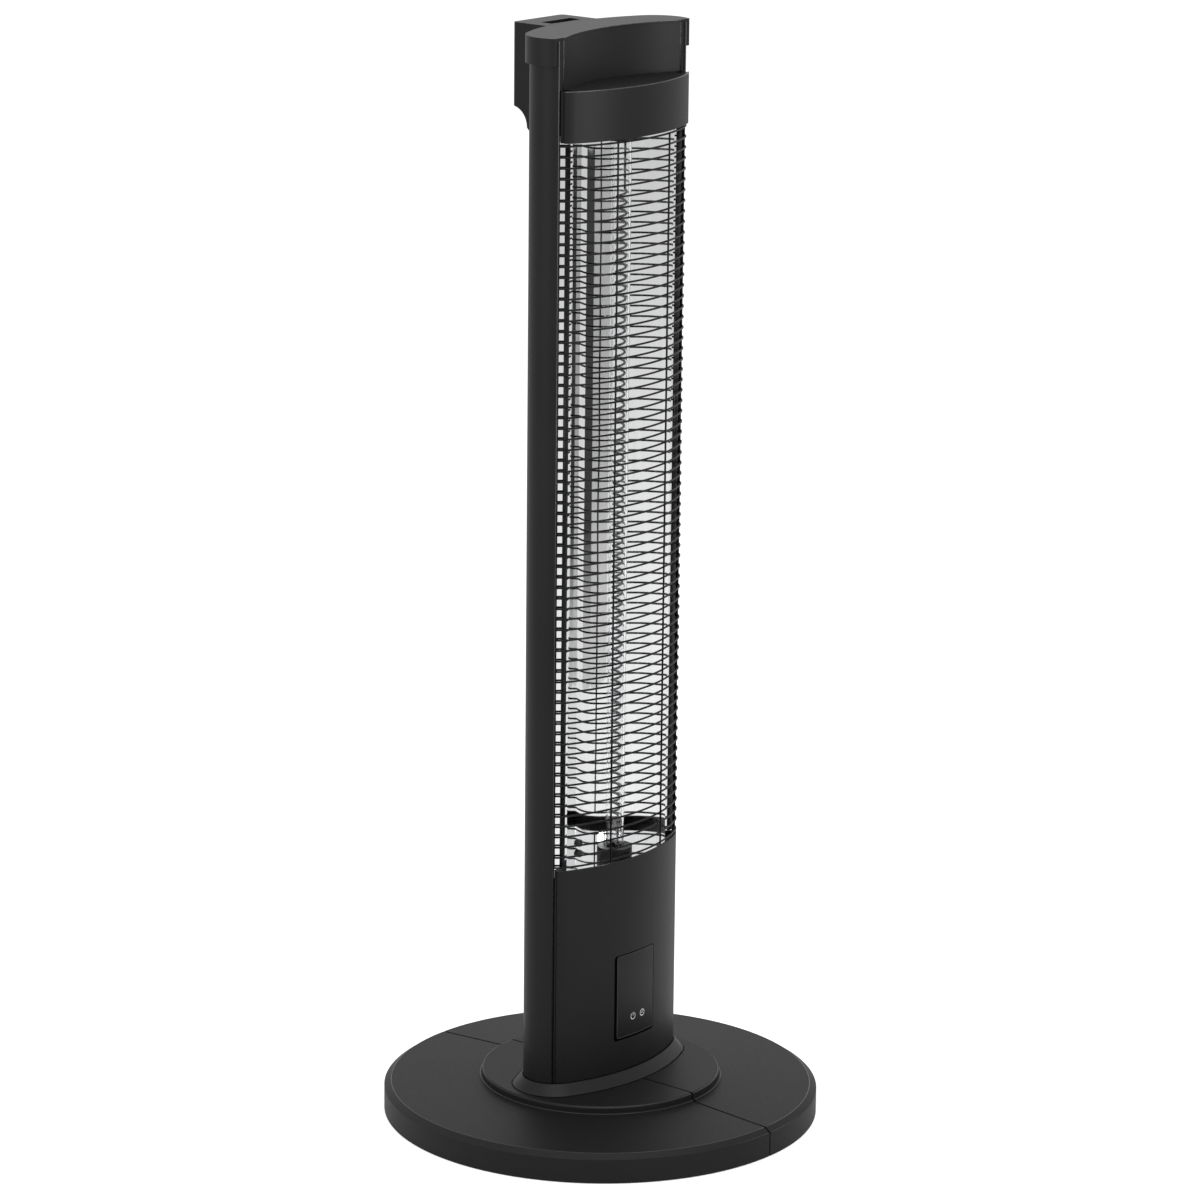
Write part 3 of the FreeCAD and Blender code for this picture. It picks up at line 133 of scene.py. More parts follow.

# Face plate of the touch panel, signs on it and on the rocker, darker discs on the cap as painted
# shade of dimples

PLATE_LEFT, PLATE_RIGHT = -24.2 * MM, 27.3 * MM
PLATE_LOW, PLATE_HIGH = 80.2 * MM, 159.0 * MM
PLATE_CORNER = 2.4 * MM
PLATE_FOOT_INSET = 0.9 * MM
PLATE_TOP_INSET = 0.1 * MM
PLATE_EDGE = 0.55 * MM
PLATE_STEPS = 24
PLATE_RIM_STEPS = 4
SIGN_LIFT = 0.05 * MM
SIGN_Z = 97.9 * MM
POWER_SIGN_X = -3.3 * MM
CLOCK_SIGN_X = 10.0 * MM
SIGN_R = 3.0 * MM
SIGN_STROKE = 0.62 * MM
SIGN_STEPS = 32
POWER_GAP = math.radians(36)
POWER_BAR_LOW, POWER_BAR_HIGH = SIGN_R * 0.1, SIGN_R * 1.2
CLOCK_HAND_HIGH, CLOCK_HAND_LOW = SIGN_R * 0.68, SIGN_R * 0.12
CLOCK_HAND_SIDE = SIGN_R * 0.5
ROCKER_SIGN_STEP = 4.4 * MM
ROCKER_SIGN_R = 1.3 * MM
ROCKER_STROKE = SIGN_STROKE / 2
ROCKER_Z = 120 * MM
BEHIND_Y = 100 * MM
DIMPLE_X = 59.3 * MM
DIMPLE_Y = 8.2 * MM
DIMPLE_R = 1.3 * MM

# Thin rolled edges of the sheet parts

BEAD_R = 0.45 * MM
BEAD_SIDES = 8
BEAD_STEPS = 40
PLATE_BEAD_R = BEAD_R * 0.8
SHELL_BEAD_X = 86.6 * MM
RECESS_HALF_WIDTH = 80 * MM
RECESS_EDGE_Y = -13.4 * MM
RECESS_BACK_Y = 5.4 * MM
VISOR_PROUD = 1.8 * MM

# Base: its edges as radius and height; the seam of its halves as reach and height in millimetres

BASE_EDGES = ((108.3 * MM, 38.1 * MM), (110.8 * MM, 32.4 * MM),
              (193.0 * MM, 26.6 * MM), (198.54 * MM, 22.6 * MM))
SEAM_LINE = ((198.98, 1.0), (198.98, 22.76), (193.02, 26.87), (111.1, 31.1), (111.05, 32.66),
             (109.06, 32.66), (109.06, 37.46), (107.44, 39.05), (40.0, 39.05))
SEAM_HALF = 0.8 * MM
RING_STEPS = 90
SKIRT_TOP = 48.5 * MM
PLATEAU_TOP = 39 * MM
SKIRT_FLARE = 10 * MM
FOOT_LINE_R = 0.5 * MM

# Studio: floor, and cards that show only in reflections, in the paint as well as in the mirror

FLOOR_HALF = 12.0
FLOOR_DROP = 0.0002
FLOOR_TONE = 0.82
FLOOR_GLOW = (("Is Camera Ray", 0.55), ("Is Transmission Ray", 0.55), ("Is Glossy Ray", 0.15))
FLAG_ROUGHNESS = 0.9
FLAG_SPECULAR = 0.1
FLAG_HEIGHT = 0.66
FLAG_LEFT = (-0.02, -1.45)
FLAG_MIDDLE = (0.64, -1.25)
FLAG_RIGHT = (0.98, -1.00)

# Cards: name, left and right foot, tones at foot and top, heights where the tone starts and stops
FLAGS = (("dark_flag", FLAG_MIDDLE, FLAG_RIGHT, 0.7, 0.05, 0.06, 0.2),
         ("grey_flag", FLAG_LEFT, FLAG_MIDDLE, 0.8, 0.52, 0.0, 0.35))

# Light of the studio: strength of the world as fill and as background, then the lamps with place,
# target, size, power and spread
WORLD_FILL = 0.65
WORLD_SEEN = 1.0
LAMPS = (("overhead_softbox", (-0.6, -0.8, 3.2), (0, 0, 0.3), (2.6, 2.6), 42.0, math.pi),
         ("left_softbox", (-3.0, 0.6, 1.5), (0, 0, 0.5), (1.6, 2.4), 22.0, math.pi),
         ("front_softbox", (0.25, -3.2, 1.2), (0, 0, 0.9), (0.5, 1.4), 3.6, math.radians(50)))

# Camera found from the outline of the base and the column

CAMERA_AT = (-3272.5 * MM, -2720.5 * MM, 1583.44 * MM)
CAMERA_TURN = math.radians(50.262 - 0.0648)
CAMERA_PITCH = math.radians(14.501)
CAMERA_ROLL = math.radians(0.5857)
SENSOR = 36.0
FOCAL_PIXELS = 4882.0
PHOTO_PIXELS = 1200.0
LENS = FOCAL_PIXELS * SENSOR / PHOTO_PIXELS
CLIP_NEAR = 0.05
CLIP_FAR = 100.0


# Materials

NOISE_LOW = 0.3
NOISE_HIGH = 0.7
GRAIN_STRENGTH = 0.35
BEVEL_SAMPLES = 4
QUARTZ_IOR = 1.46


def new_material(name):
    material = bpy.data.materials.new(name)
    material.use_nodes = True
    tree = material.node_tree
    tree.nodes.clear()
    out = tree.nodes.new("ShaderNodeOutputMaterial")
    shader = tree.nodes.new("ShaderNodeBsdfPrincipled")
    tree.links.new(shader.outputs["BSDF"], out.inputs["Surface"])
    return material, tree, shader


def place_coordinates(tree, stretch=(1.0, 1.0, 1.0)):
    where = tree.nodes.new("ShaderNodeTexCoord")
    mapping = tree.nodes.new("ShaderNodeMapping")
    mapping.inputs["Scale"].default_value = stretch
    tree.links.new(where.outputs["Object"], mapping.inputs["Vector"])
    return mapping.outputs["Vector"]


def noise(tree, vector, scale, detail):
    node = tree.nodes.new("ShaderNodeTexNoise")
    node.inputs["Scale"].default_value = scale
    node.inputs["Detail"].default_value = detail
    tree.links.new(vector, node.inputs["Vector"])
    return node.outputs["Fac"]


def ramp(tree, factor, dark, light, low=NOISE_LOW, high=NOISE_HIGH):
    node = tree.nodes.new("ShaderNodeValToRGB")
    node.color_ramp.elements[0].position = low
    node.color_ramp.elements[0].color = (*dark, 1.0)
    node.color_ramp.elements[1].position = high
    node.color_ramp.elements[1].color = (*light, 1.0)
    tree.links.new(factor, node.inputs["Fac"])
    return node.outputs["Color"]


def span(tree, factor, low, high):
    node = tree.nodes.new("ShaderNodeMapRange")
    node.inputs["From Min"].default_value = NOISE_LOW
    node.inputs["From Max"].default_value = NOISE_HIGH
    node.inputs["To Min"].default_value = low
    node.inputs["To Max"].default_value = high
    tree.links.new(factor, node.inputs["Value"])
    return node.outputs["Result"]


def bump(tree, shader, height, strength, distance, edge=0.0):
    """Relief in the surface, over edges that are rounded by the given radius."""
    node = tree.nodes.new("ShaderNodeBump")
    node.inputs["Strength"].default_value = strength
    node.inputs["Distance"].default_value = distance
    tree.links.new(height, node.inputs["Height"])
    if edge > 0:
        rounded = tree.nodes.new("ShaderNodeBevel")
        rounded.samples = BEVEL_SAMPLES
        rounded.inputs["Radius"].default_value = edge
        tree.links.new(rounded.outputs["Normal"], node.inputs["Normal"])
    tree.links.new(node.outputs["Normal"], shader.inputs["Normal"])


def coated(name, dark, light, rough, grain, depth, patch=6.0, specular=0.5,
           metallic=0.0, edge=0.0, stretch=(1.0, 1.0, 1.0)):
    """Paint, moulded plastic, rubber or metal with soft patches, fine grain and uneven gloss."""
    material, tree, shader = new_material(name)
    vector = place_coordinates(tree, stretch)
    patches = noise(tree, vector, scale=patch, detail=4.0)
    fine = noise(tree, vector, scale=grain, detail=2.0)
    tree.links.new(ramp(tree, patches, dark, light), shader.inputs["Base Color"])
    tree.links.new(span(tree, fine, *rough), shader.inputs["Roughness"])
    bump(tree, shader, fine, GRAIN_STRENGTH, depth, edge)
    shader.inputs["Specular IOR Level"].default_value = specular
    shader.inputs["Metallic"].default_value = metallic
    return material


def polished_sheet(name):
    """Mirror sheet: clear reflections, faint streaks and a slight wave from folding."""
    material, tree, shader = new_material(name)
    streaks = noise(tree, place_coordinates(tree, (1.0, 1.0, 0.06)), scale=260.0, detail=2.0)
    waves = noise(tree, place_coordinates(tree, (1.0, 1.0, 0.6)), scale=16.0, detail=1.0)
    tree.links.new(ramp(tree, streaks, (0.79, 0.795, 0.80), (0.84, 0.845, 0.85)),
                   shader.inputs["Base Color"])
    tree.links.new(span(tree, streaks, low=0.015, high=0.045), shader.inputs["Roughness"])
    bump(tree, shader, waves, strength=1.0, distance=0.0003)
    shader.inputs["Metallic"].default_value = 1.0
    return material


def clear_quartz(name):
    """Clear tube with faint drawn streaks."""
    material, tree, shader = new_material(name)
    streaks = noise(tree, place_coordinates(tree, (1.0, 1.0, 0.05)), scale=220.0, detail=2.0)
    tree.links.new(ramp(tree, streaks, (0.95, 0.96, 0.97), (1.0, 1.0, 1.0)),
                   shader.inputs["Base Color"])
    tree.links.new(span(tree, streaks, low=0.0, high=0.02), shader.inputs["Roughness"])
    shader.inputs["Transmission Weight"].default_value = 1.0
    shader.inputs["IOR"].default_value = QUARTZ_IOR
    return material


paint = coated(
    "satin_black_paint", (0.0048, 0.0048, 0.0050), (0.0068, 0.0068, 0.0071),
    rough=(0.38, 0.47), grain=1400.0, depth=0.00004, specular=0.19, edge=0.0005)
base_paint = coated(
    "base_black_plastic", (0.0046, 0.0046, 0.0047), (0.0068, 0.0068, 0.0070),
    rough=(0.46, 0.58), grain=1100.0, depth=0.00005, specular=0.18, edge=0.0008)
guard_paint = coated(
    "guard_black_enamel", (0.0040, 0.0040, 0.0043), (0.0065, 0.0065, 0.0068),
    rough=(0.32, 0.44), grain=900.0, depth=0.00003, patch=30.0, specular=0.15)
rail_paint = coated(
    "rail_black_enamel", (0.0035, 0.0035, 0.0036), (0.0055, 0.0055, 0.0058),
    rough=(0.40, 0.52), grain=900.0, depth=0.00003, patch=20.0, specular=0.2)
# About twice as light as the base plastic: painted highlight along the rounded edges of the base
# and the touch plate; the lower roughness and stronger gloss are real
base_bead_highlight_paint = coated(
    "base_bead_painted_highlight", (0.010, 0.010, 0.0105), (0.016, 0.016, 0.0165),
    rough=(0.28, 0.38), grain=900.0, depth=0.00003, patch=20.0, specular=0.5)
# Three to four times lighter than the paint: painted highlight along the rolled edges; the lower
# roughness and stronger gloss are real
bead_highlight_paint = coated(
    "bead_painted_highlight", (0.018, 0.018, 0.0185), (0.028, 0.028, 0.0285),
    rough=(0.24, 0.32), grain=900.0, depth=0.00003, patch=20.0, specular=0.7)
# Near-black and almost without gloss: painted shade for the gaps, in the seam of the base, round
# the collar and round the touch plate
painted_gap_shade = coated(
    "shaded_gap", (0.0006, 0.0006, 0.0006), (0.0012, 0.0012, 0.0012),
    rough=(0.80, 0.95), grain=600.0, depth=0.00003, patch=20.0, specular=0.02)
mirror = polished_sheet("polished_reflector")
shield_metal = coated(
    "mill_aluminium", (0.55, 0.55, 0.55), (0.68, 0.68, 0.68),
    rough=(0.30, 0.42), grain=500.0, depth=0.00002, metallic=1.0, stretch=(0.1, 1.0, 1.0))
panel_gloss = coated(
    "touch_panel_film", (0.0052, 0.0052, 0.0054), (0.0068, 0.0068, 0.0071),
    rough=(0.36, 0.44), grain=1600.0, depth=0.00001, patch=25.0, specular=0.24)
board_green = coated(
    "board_green", (0.012, 0.075, 0.035), (0.020, 0.115, 0.050),
    rough=(0.25, 0.40), grain=600.0, depth=0.00003, patch=60.0)
iron = coated(
    "cast_ballast", (0.060, 0.060, 0.062), (0.115, 0.112, 0.110),
    rough=(0.55, 0.75), grain=320.0, depth=0.0003, patch=14.0)
rubber = coated(
    "foot_rubber", (0.012, 0.012, 0.012), (0.022, 0.022, 0.022),
    rough=(0.70, 0.85), grain=700.0, depth=0.00006, patch=40.0)
zinc = coated(
    "zinc_steel", (0.50, 0.51, 0.52), (0.64, 0.65, 0.67),
    rough=(0.22, 0.34), grain=400.0, depth=0.00002, patch=40.0, metallic=1.0)
dark_screw = coated(
    "black_oxide_screw", (0.010, 0.010, 0.010), (0.022, 0.022, 0.023),
    rough=(0.30, 0.45), grain=900.0, depth=0.00003, patch=90.0, specular=0.4)
ceramic = coated(
    "ceramic_black", (0.006, 0.006, 0.006), (0.010, 0.010, 0.0105),
    rough=(0.35, 0.50), grain=900.0, depth=0.00004, patch=50.0, specular=0.35, edge=0.0004)
quartz = clear_quartz("clear_quartz")
alloy = coated(
    "oxidised_spiral", (0.012, 0.011, 0.010), (0.035, 0.032, 0.029),
    rough=(0.40, 0.60), grain=900.0, depth=0.00003, patch=80.0, specular=0.3)
brass = coated(
    "turned_brass", (0.60, 0.44, 0.17), (0.76, 0.58, 0.26),
    rough=(0.22, 0.34), grain=700.0, depth=0.00002, patch=60.0, metallic=1.0)
switch_plastic = coated(
    "switch_black_plastic", (0.006, 0.006, 0.006), (0.010, 0.010, 0.0105),
    rough=(0.38, 0.52), grain=1200.0, depth=0.00004, patch=50.0, specular=0.3, edge=0.0004)
rocker_gloss = coated(
    "rocker_gloss_plastic", (0.006, 0.006, 0.0065), (0.009, 0.009, 0.0095),
    rough=(0.15, 0.25), grain=900.0, depth=0.00002, patch=60.0, specular=0.45, edge=0.0004)
pale_plastic = coated(
    "pale_plastic", (0.60, 0.60, 0.57), (0.72, 0.72, 0.69),
    rough=(0.35, 0.50), grain=900.0, depth=0.00003, patch=60.0)
sleeve = coated(
    "silicone_sleeve", (0.55, 0.54, 0.50), (0.68, 0.67, 0.63),
    rough=(0.55, 0.70), grain=700.0, depth=0.00004, patch=60.0)
sign_ink = coated(
    "sign_ink", (0.72, 0.72, 0.73), (0.84, 0.84, 0.85),
    rough=(0.45, 0.60), grain=2000.0, depth=0.00001, patch=300.0)

# The touch_panel node shows only in the gap round the touch plate, and takes the painted gap shade
FINISHES = {
    "base_half_left": base_paint, "base_half_right": base_paint,
    "ballast_left": iron, "ballast_right": iron, "base_feet": rubber,
    "base_screws": zinc, "foot_plate": zinc, "foot_skirt": paint, "rear_shell": paint,
    "front_cover": paint, "touch_panel": painted_gap_shade, "touch_board": board_green,
    "main_reflector": mirror, "lower_reflector": mirror, "upper_reflector": mirror,
    "guard_rail_left": rail_paint, "guard_rail_right": rail_paint, "guard_grille": guard_paint,
    "reflector_screw": dark_screw, "tube_holders": ceramic, "quartz_tube": quartz,
    "heating_spiral": alloy, "visor": paint, "recess_panel": paint, "top_cap": paint,
    "remote_holder": paint, "board_bracket": zinc, "board_standoffs": brass,
    "control_board": board_green, "terminal_block": switch_plastic, "heat_shield": shield_metal,
    "element_leads": sleeve, "thermal_cutout": switch_plastic, "rocker_frame": switch_plastic,
    "main_rocker": rocker_gloss, "cable_gland": switch_plastic,
    "tip_switch_housing": switch_plastic, "tip_plunger": pale_plastic,
}
for name, material in FINISHES.items():
    slots = nodes[name].data.materials
    if len(slots) == 0:
        slots.append(material)
    for index in range(len(slots)):
        slots[index] = material


# Mesh pieces


def add_piece(name, vertices, faces, material, body="heater", smooth=True):
    mesh = bpy.data.meshes.new(name)
    mesh.from_pydata(vertices, [], faces)
    mesh.validate()
    mesh.update()
    piece = bpy.data.objects.new(name, mesh)
    bpy.context.scene.collection.objects.link(piece)
    mesh.materials.append(material)
    if smooth:
        for polygon in mesh.polygons:
            polygon.use_smooth = len(polygon.vertices) == 4
    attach(piece, body)
    return piece


def add_tube(vertices, faces, path, radius, sides):
    """Round bar along a path, with closed ends."""
    first = len(vertices)
    across = None
    for index, point in enumerate(path):
        before = path[max(index - 1, 0)]
        after = path[min(index + 1, len(path) - 1)]
        along = (after - before).normalized()
        if across is None:
            across = along.orthogonal().normalized()
        else:
            across = (across - along * across.dot(along)).normalized()
        other = along.cross(across)
        for side in range(sides):
            turn = 2 * math.pi * side / sides
            vertices.append(point + across * (radius * math.cos(turn))
                            + other * (radius * math.sin(turn)))
    for index in range(len(path) - 1):
        for side in range(sides):
            a = first + index * sides + side
            b = first + index * sides + (side + 1) % sides
            faces.append((a, b, b + sides, a + sides))
    last = first + (len(path) - 1) * sides
    faces.append(tuple(first + side for side in reversed(range(sides))))
    faces.append(tuple(last + side for side in range(sides)))


def add_prism(vertices, faces, outline, low, high):
    """Upright bar with the given outline, listed anticlockwise seen from above."""
    first = len(vertices)
    count = len(outline)
    for z in (low, high):
        vertices.extend(Vector((x, y, z)) for x, y in outline)
    for index in range(count):
        after = (index + 1) % count
        faces.append((first + index, first + after, first + count + after, first + count + index))
    faces.append(tuple(first + index for index in reversed(range(count))))
    faces.append(tuple(first + count + index for index in range(count)))


def mirrored(outline, side):
    """The outline for the right side, or its mirror image for the left."""
    if side > 0:
        return outline
    return [(-x, y) for x, y in reversed(outline)]


def plan_point(turn, inset, z):
    """Point of the column's front outline at an outward direction, from -90 to 90 degrees."""
    side = -1 if turn < 0 else 1
    if abs(turn) <= FACE_TURN:
        radius = FACE_R - inset
        return Vector((radius * math.sin(turn), FRONT_C - radius * math.cos(turn), z))
    radius = END_R - inset
    return Vector((side * END_X + radius * math.sin(turn), SHIFT_Y - radius * math.cos(turn), z))


def on_front(x, inset, z):
    """Point on the column's front arc, set in from the outline."""
    return plan_point(math.asin(x / (FACE_R - inset)), inset, z)


def both_ways(reach, steps):
    """Even steps from minus the reach to the reach."""
    return [reach * (2 * step / steps - 1) for step in range(steps + 1)]


def upright(x, y, low, high):
    return [Vector((x, y, low)), Vector((x, y, high))]


def guard_piece():
    """Wires across the front, two upright wires, and a bar and a strip along each edge."""
    vertices = []
    faces = []
    end_turn = math.acos(WIRE_END_CUT / (END_R - WIRE_INSET))
    half = [FACE_TURN + (end_turn - FACE_TURN) * step / END_STEPS
            for step in range(1, END_STEPS + 1)]
    turns = [-turn for turn in reversed(half)] + both_ways(FACE_TURN, FACE_STEPS) + half
    for index in range(WIRE_COUNT):
        z = WIRE_FIRST_Z + WIRE_PITCH * index
        wire = [plan_point(turn, WIRE_INSET, z) for turn in turns]
        add_tube(vertices, faces, wire, WIRE_R, WIRE_SIDES)
    low = WIRE_FIRST_Z - WIRE_R
    high = WIRE_FIRST_Z + WIRE_PITCH * (WIRE_COUNT - 1) + WIRE_R
    strip = [(STRIP_NEAR_X, STRIP_FRONT_Y + STRIP_EDGE), (STRIP_NEAR_X + STRIP_EDGE, STRIP_FRONT_Y),
             (STRIP_FAR_X - STRIP_EDGE, STRIP_FRONT_Y), (STRIP_FAR_X, STRIP_FRONT_Y + STRIP_EDGE),
             (STRIP_FAR_X, STRIP_BACK_Y), (STRIP_NEAR_X, STRIP_BACK_Y)]
    for side in (-1, 1):
        foot = on_front(side * UPRIGHT_X, UPRIGHT_INSET, low)
        add_tube(vertices, faces, upright(foot.x, foot.y, low, high), WIRE_R, WIRE_SIDES)
        x, y = side * EDGE_BAR_AT[0], EDGE_BAR_AT[1]
        add_tube(vertices, faces, upright(x, y, low, high), EDGE_BAR_R, WIRE_SIDES)
        add_prism(vertices, faces, mirrored(strip, side), low, high)
    piece = add_piece("guard_wires", vertices, faces, guard_paint)
    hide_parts("guard_grille")


def add_wall(vertices, faces, points, low, high):
    """Upright wall over a line of plan points, which faces to the right of the line."""
    first = len(vertices)
    for x, y in points:
        vertices.append(Vector((x, y, low)))
        vertices.append(Vector((x, y, high)))
    for index in range(len(points) - 1):
        a = first + 2 * index
        faces.append((a, a + 2, a + 3, a + 1))


def trough_piece():
    """Mirror trough in fine steps: between an arc and a parabola, with flanges and lips."""
    depth = MIRROR_BACK_Y - MIRROR_FRONT_Y
    radius = (MIRROR_HALF_WIDTH ** 2 + depth ** 2) / (2 * depth)
    centre = MIRROR_BACK_Y - radius
    flange_back = MIRROR_FRONT_Y + MIRROR_SHEET
    sheet_run = MIRROR_SHEET / math.sqrt(2)
    lip_end = (LIP_X + LIP_RUN, MIRROR_FRONT_Y + LIP_RUN)
    lip_back = (lip_end[0] - sheet_run, lip_end[1] + sheet_run)
    bend_back = (LIP_X - MIRROR_SHEET * math.tan(math.pi / 8), flange_back)

    def hollow(x):
        arc_y = centre + math.sqrt(radius ** 2 - x ** 2)
        dish_y = MIRROR_BACK_Y - depth * (x / MIRROR_HALF_WIDTH) ** 2
        return dish_y + (arc_y - dish_y) * MIRROR_ARC_SHARE

    def line(lift, bend, end):
        left = [(-end[0], end[1]), (-bend[0], bend[1])]
        dish = [(x, hollow(x) + lift) for x in both_ways(MIRROR_HALF_WIDTH, MIRROR_STEPS)]
        return left + dish + [bend, end]

    front = line(0.0, (LIP_X, MIRROR_FRONT_Y), lip_end)
    back = line(MIRROR_SHEET, bend_back, lip_back)
    vertices = []
    faces = []
    for points in (front, back[::-1]):
        for run in (points[:2], points[1:3], points[2:-2], points[-3:-1], points[-2:]):
            add_wall(vertices, faces, run, MIRROR_LOW, MIRROR_HIGH)
    add_wall(vertices, faces, [front[-1], back[-1]], MIRROR_LOW, MIRROR_HIGH)
    add_wall(vertices, faces, [back[0], front[0]], MIRROR_LOW, MIRROR_HIGH)
    for z, up in ((MIRROR_LOW, False), (MIRROR_HIGH, True)):
        first = len(vertices)
        for near, far in zip(front, back):
            vertices.append(Vector((*near, z)))
            vertices.append(Vector((*far, z)))
        for index in range(len(front) - 1):
            a = first + 2 * index
            faces.append((a, a + 2, a + 3, a + 1) if up else (a, a + 1, a + 3, a + 2))
    piece = add_piece("reflector_trough", vertices, faces, mirror)
    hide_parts("main_reflector")


def trim_outline(front_y, inner):
    """Plan of the trim between the shell's edge and a front part's edge, on the right side."""
    back = SHELL_EDGE_Y - TRIM_GAP
    front = front_y + TRIM_GAP

    def at(radius, y):
        return (END_X + math.sqrt(radius ** 2 - (y - SHIFT_Y) ** 2), y)

    outer = [at(TRIM_R - TRIM_CHAMFER, front)]
    low, high = front + TRIM_CHAMFER, back - TRIM_CHAMFER
    outer += [at(TRIM_R, low + (high - low) * step / TRIM_STEPS) for step in range(TRIM_STEPS + 1)]
    outer.append(at(TRIM_R - TRIM_CHAMFER, back))
    return outer + [at(inner, back), at(inner, front)]


def trim_pieces():
    for side, name in ((-1, "groove_trim_left"), (1, "groove_trim_right")):
        vertices = []
        faces = []
        for low, high, front_y, inner in TRIM_RUNS:
            add_prism(vertices, faces, mirrored(trim_outline(front_y, inner), side), low, high)
        add_prism(vertices, faces, mirrored(EAR_TRIM, side), VISOR_TOP, CAP_UNDER)
        add_piece(name, vertices, faces, paint, smooth=False)


def beads_piece():
    """Rolled edges in lighter paint, a painted highlight: fronts of the shell, sides of the recess,
    upper edges of visor and cap.
    """
    vertices = []
    faces = []
    depth = RECESS_BACK_Y - RECESS_EDGE_Y
    radius = (RECESS_HALF_WIDTH ** 2 + depth ** 2) / (2 * depth)
    centre = RECESS_BACK_Y - radius
    cap_z = CAD_HIGH[2] - BEAD_R
    rim = [Vector((radius * math.sin(turn), centre + radius * math.cos(turn), cap_z))
           for turn in both_ways(math.asin(RECESS_HALF_WIDTH / radius), BEAD_STEPS)]
    add_tube(vertices, faces, rim, BEAD_R, BEAD_SIDES)
    for side in (-1, 1):
        for x, y, low in ((SHELL_BEAD_X, SHELL_EDGE_Y, SHELL_FOOT),
                          (RECESS_HALF_WIDTH, RECESS_EDGE_Y, VISOR_TOP)):
            add_tube(vertices, faces, upright(side * x, y, low, CAP_UNDER), BEAD_R, BEAD_SIDES)
    inset = BEAD_R / 2 - VISOR_PROUD
    end_turn = math.acos((SHIFT_Y - VISOR_EDGE_Y) / (END_R - inset))
    visor_z = VISOR_TOP - BEAD_R / 2
    brow = [plan_point(turn, inset, visor_z) for turn in both_ways(end_turn, BEAD_STEPS)]
    add_tube(vertices, faces, brow, BEAD_R, BEAD_SIDES)
    add_piece("rolled_edges", vertices, faces, bead_highlight_paint)


def base_edges_piece():
    """Thin rounded edges round both halves of the base, in lighter paint as a painted highlight."""
    vertices = []
    faces = []
    for radius, z in BASE_EDGES:
        reach = math.acos(2 * SEAM_HALF / radius)
        for side in (-1, 1):
            edge = [Vector((side * radius * math.cos(turn), radius * math.sin(turn), z))
                    for turn in both_ways(reach, RING_STEPS)]
            add_tube(vertices, faces, edge, BEAD_R, BEAD_SIDES)
    add_piece("base_edges", vertices, faces, base_bead_highlight_paint)


def seam_piece():
    """Near-black strip in the seam between the halves of the base: painted shade in the gap."""
    vertices = []
    faces = []
    for side in (-1, 1):
        first = len(vertices)
        for y, z in SEAM_LINE:
            vertices.append(Vector((-SEAM_HALF, side * y * MM, z * MM)))
            vertices.append(Vector((SEAM_HALF, side * y * MM, z * MM)))
        for index in range(len(SEAM_LINE) - 1):
            a = first + 2 * index
            faces.append((a, a + 1, a + 3, a + 2))
    add_piece("base_seam_shade", vertices, faces, painted_gap_shade, smooth=False)


def foot_lines_piece():
    """Near-black lines at the upper and the lower edge of the collar round the column's foot:
    painted shade where the parts meet.
    """
    vertices = []
    faces = []
    turns = both_ways(math.pi / 2, RING_STEPS)
    for offset, z in ((BEAD_R / 2, SKIRT_TOP), (SKIRT_FLARE, PLATEAU_TOP)):
        front = [plan_point(turn, -offset, z) for turn in turns]
        back = [Vector((point.x, 2 * SHIFT_Y - point.y, z)) for point in reversed(front)]
        add_tube(vertices, faces, front + back[1:], FOOT_LINE_R, BEAD_SIDES)
    add_piece("collar_shade_lines", vertices, faces, painted_gap_shade)


def spiral_piece():
    """Wound heating wire with a straight lead at each end."""
    path = [Vector((SPIRAL_R, TUBE_Y, TUBE_LOW))]
    for step in range(SPIRAL_TURNS * SPIRAL_STEPS + 1):
        turn = 2 * math.pi * step / SPIRAL_STEPS
        z = SPIRAL_LOW + (SPIRAL_HIGH - SPIRAL_LOW) * step / (SPIRAL_TURNS * SPIRAL_STEPS)
        path.append(Vector((SPIRAL_R * math.cos(turn), TUBE_Y + SPIRAL_R * math.sin(turn), z)))
    path.append(Vector((SPIRAL_R, TUBE_Y, TUBE_HIGH)))
    vertices = []
    faces = []
    add_tube(vertices, faces, path, SPIRAL_WIRE, SPIRAL_SIDES)
    piece = add_piece("wound_spiral", vertices, faces, alloy)
    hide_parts("heating_spiral")


# Signs and marks that lie on a face


def face_of(node):
    mesh = nodes[node].data
    return BVHTree.FromPolygons([vertex.co for vertex in mesh.vertices],
                                [polygon.vertices for polygon in mesh.polygons])


def laid_on(surface, point, towards):
    """The point's place on a face, met along a direction, and lifted off it by a hair."""
    start = Vector(point) - Vector(towards)
    spot = surface.ray_cast(start, Vector(towards))[0]
    return spot - Vector(towards).normalized() * SIGN_LIFT


def stroke(vertices, faces, points, width, lay):
    """Flat ribbon along points of a drawing plane, laid on a face."""
    first = len(vertices)
    for index, (u, v) in enumerate(points):
        before = points[max(index - 1, 0)]
        after = points[min(index + 1, len(points) - 1)]
        du, dv = after[0] - before[0], after[1] - before[1]
        length = math.hypot(du, dv)
        nu, nv = -dv / length * width / 2, du / length * width / 2
        vertices.append(lay(u + nu, v + nv))
        vertices.append(lay(u - nu, v - nv))
    for index in range(len(points) - 1):
        a = first + 2 * index
        faces.append((a, a + 1, a + 3, a + 2))


def ring(u, v, radius, start=0.0, sweep=2 * math.pi, steps=SIGN_STEPS):
    return [(u + radius * math.cos(start + sweep * step / steps),
             v + radius * math.sin(start + sweep * step / steps)) for step in range(steps + 1)]


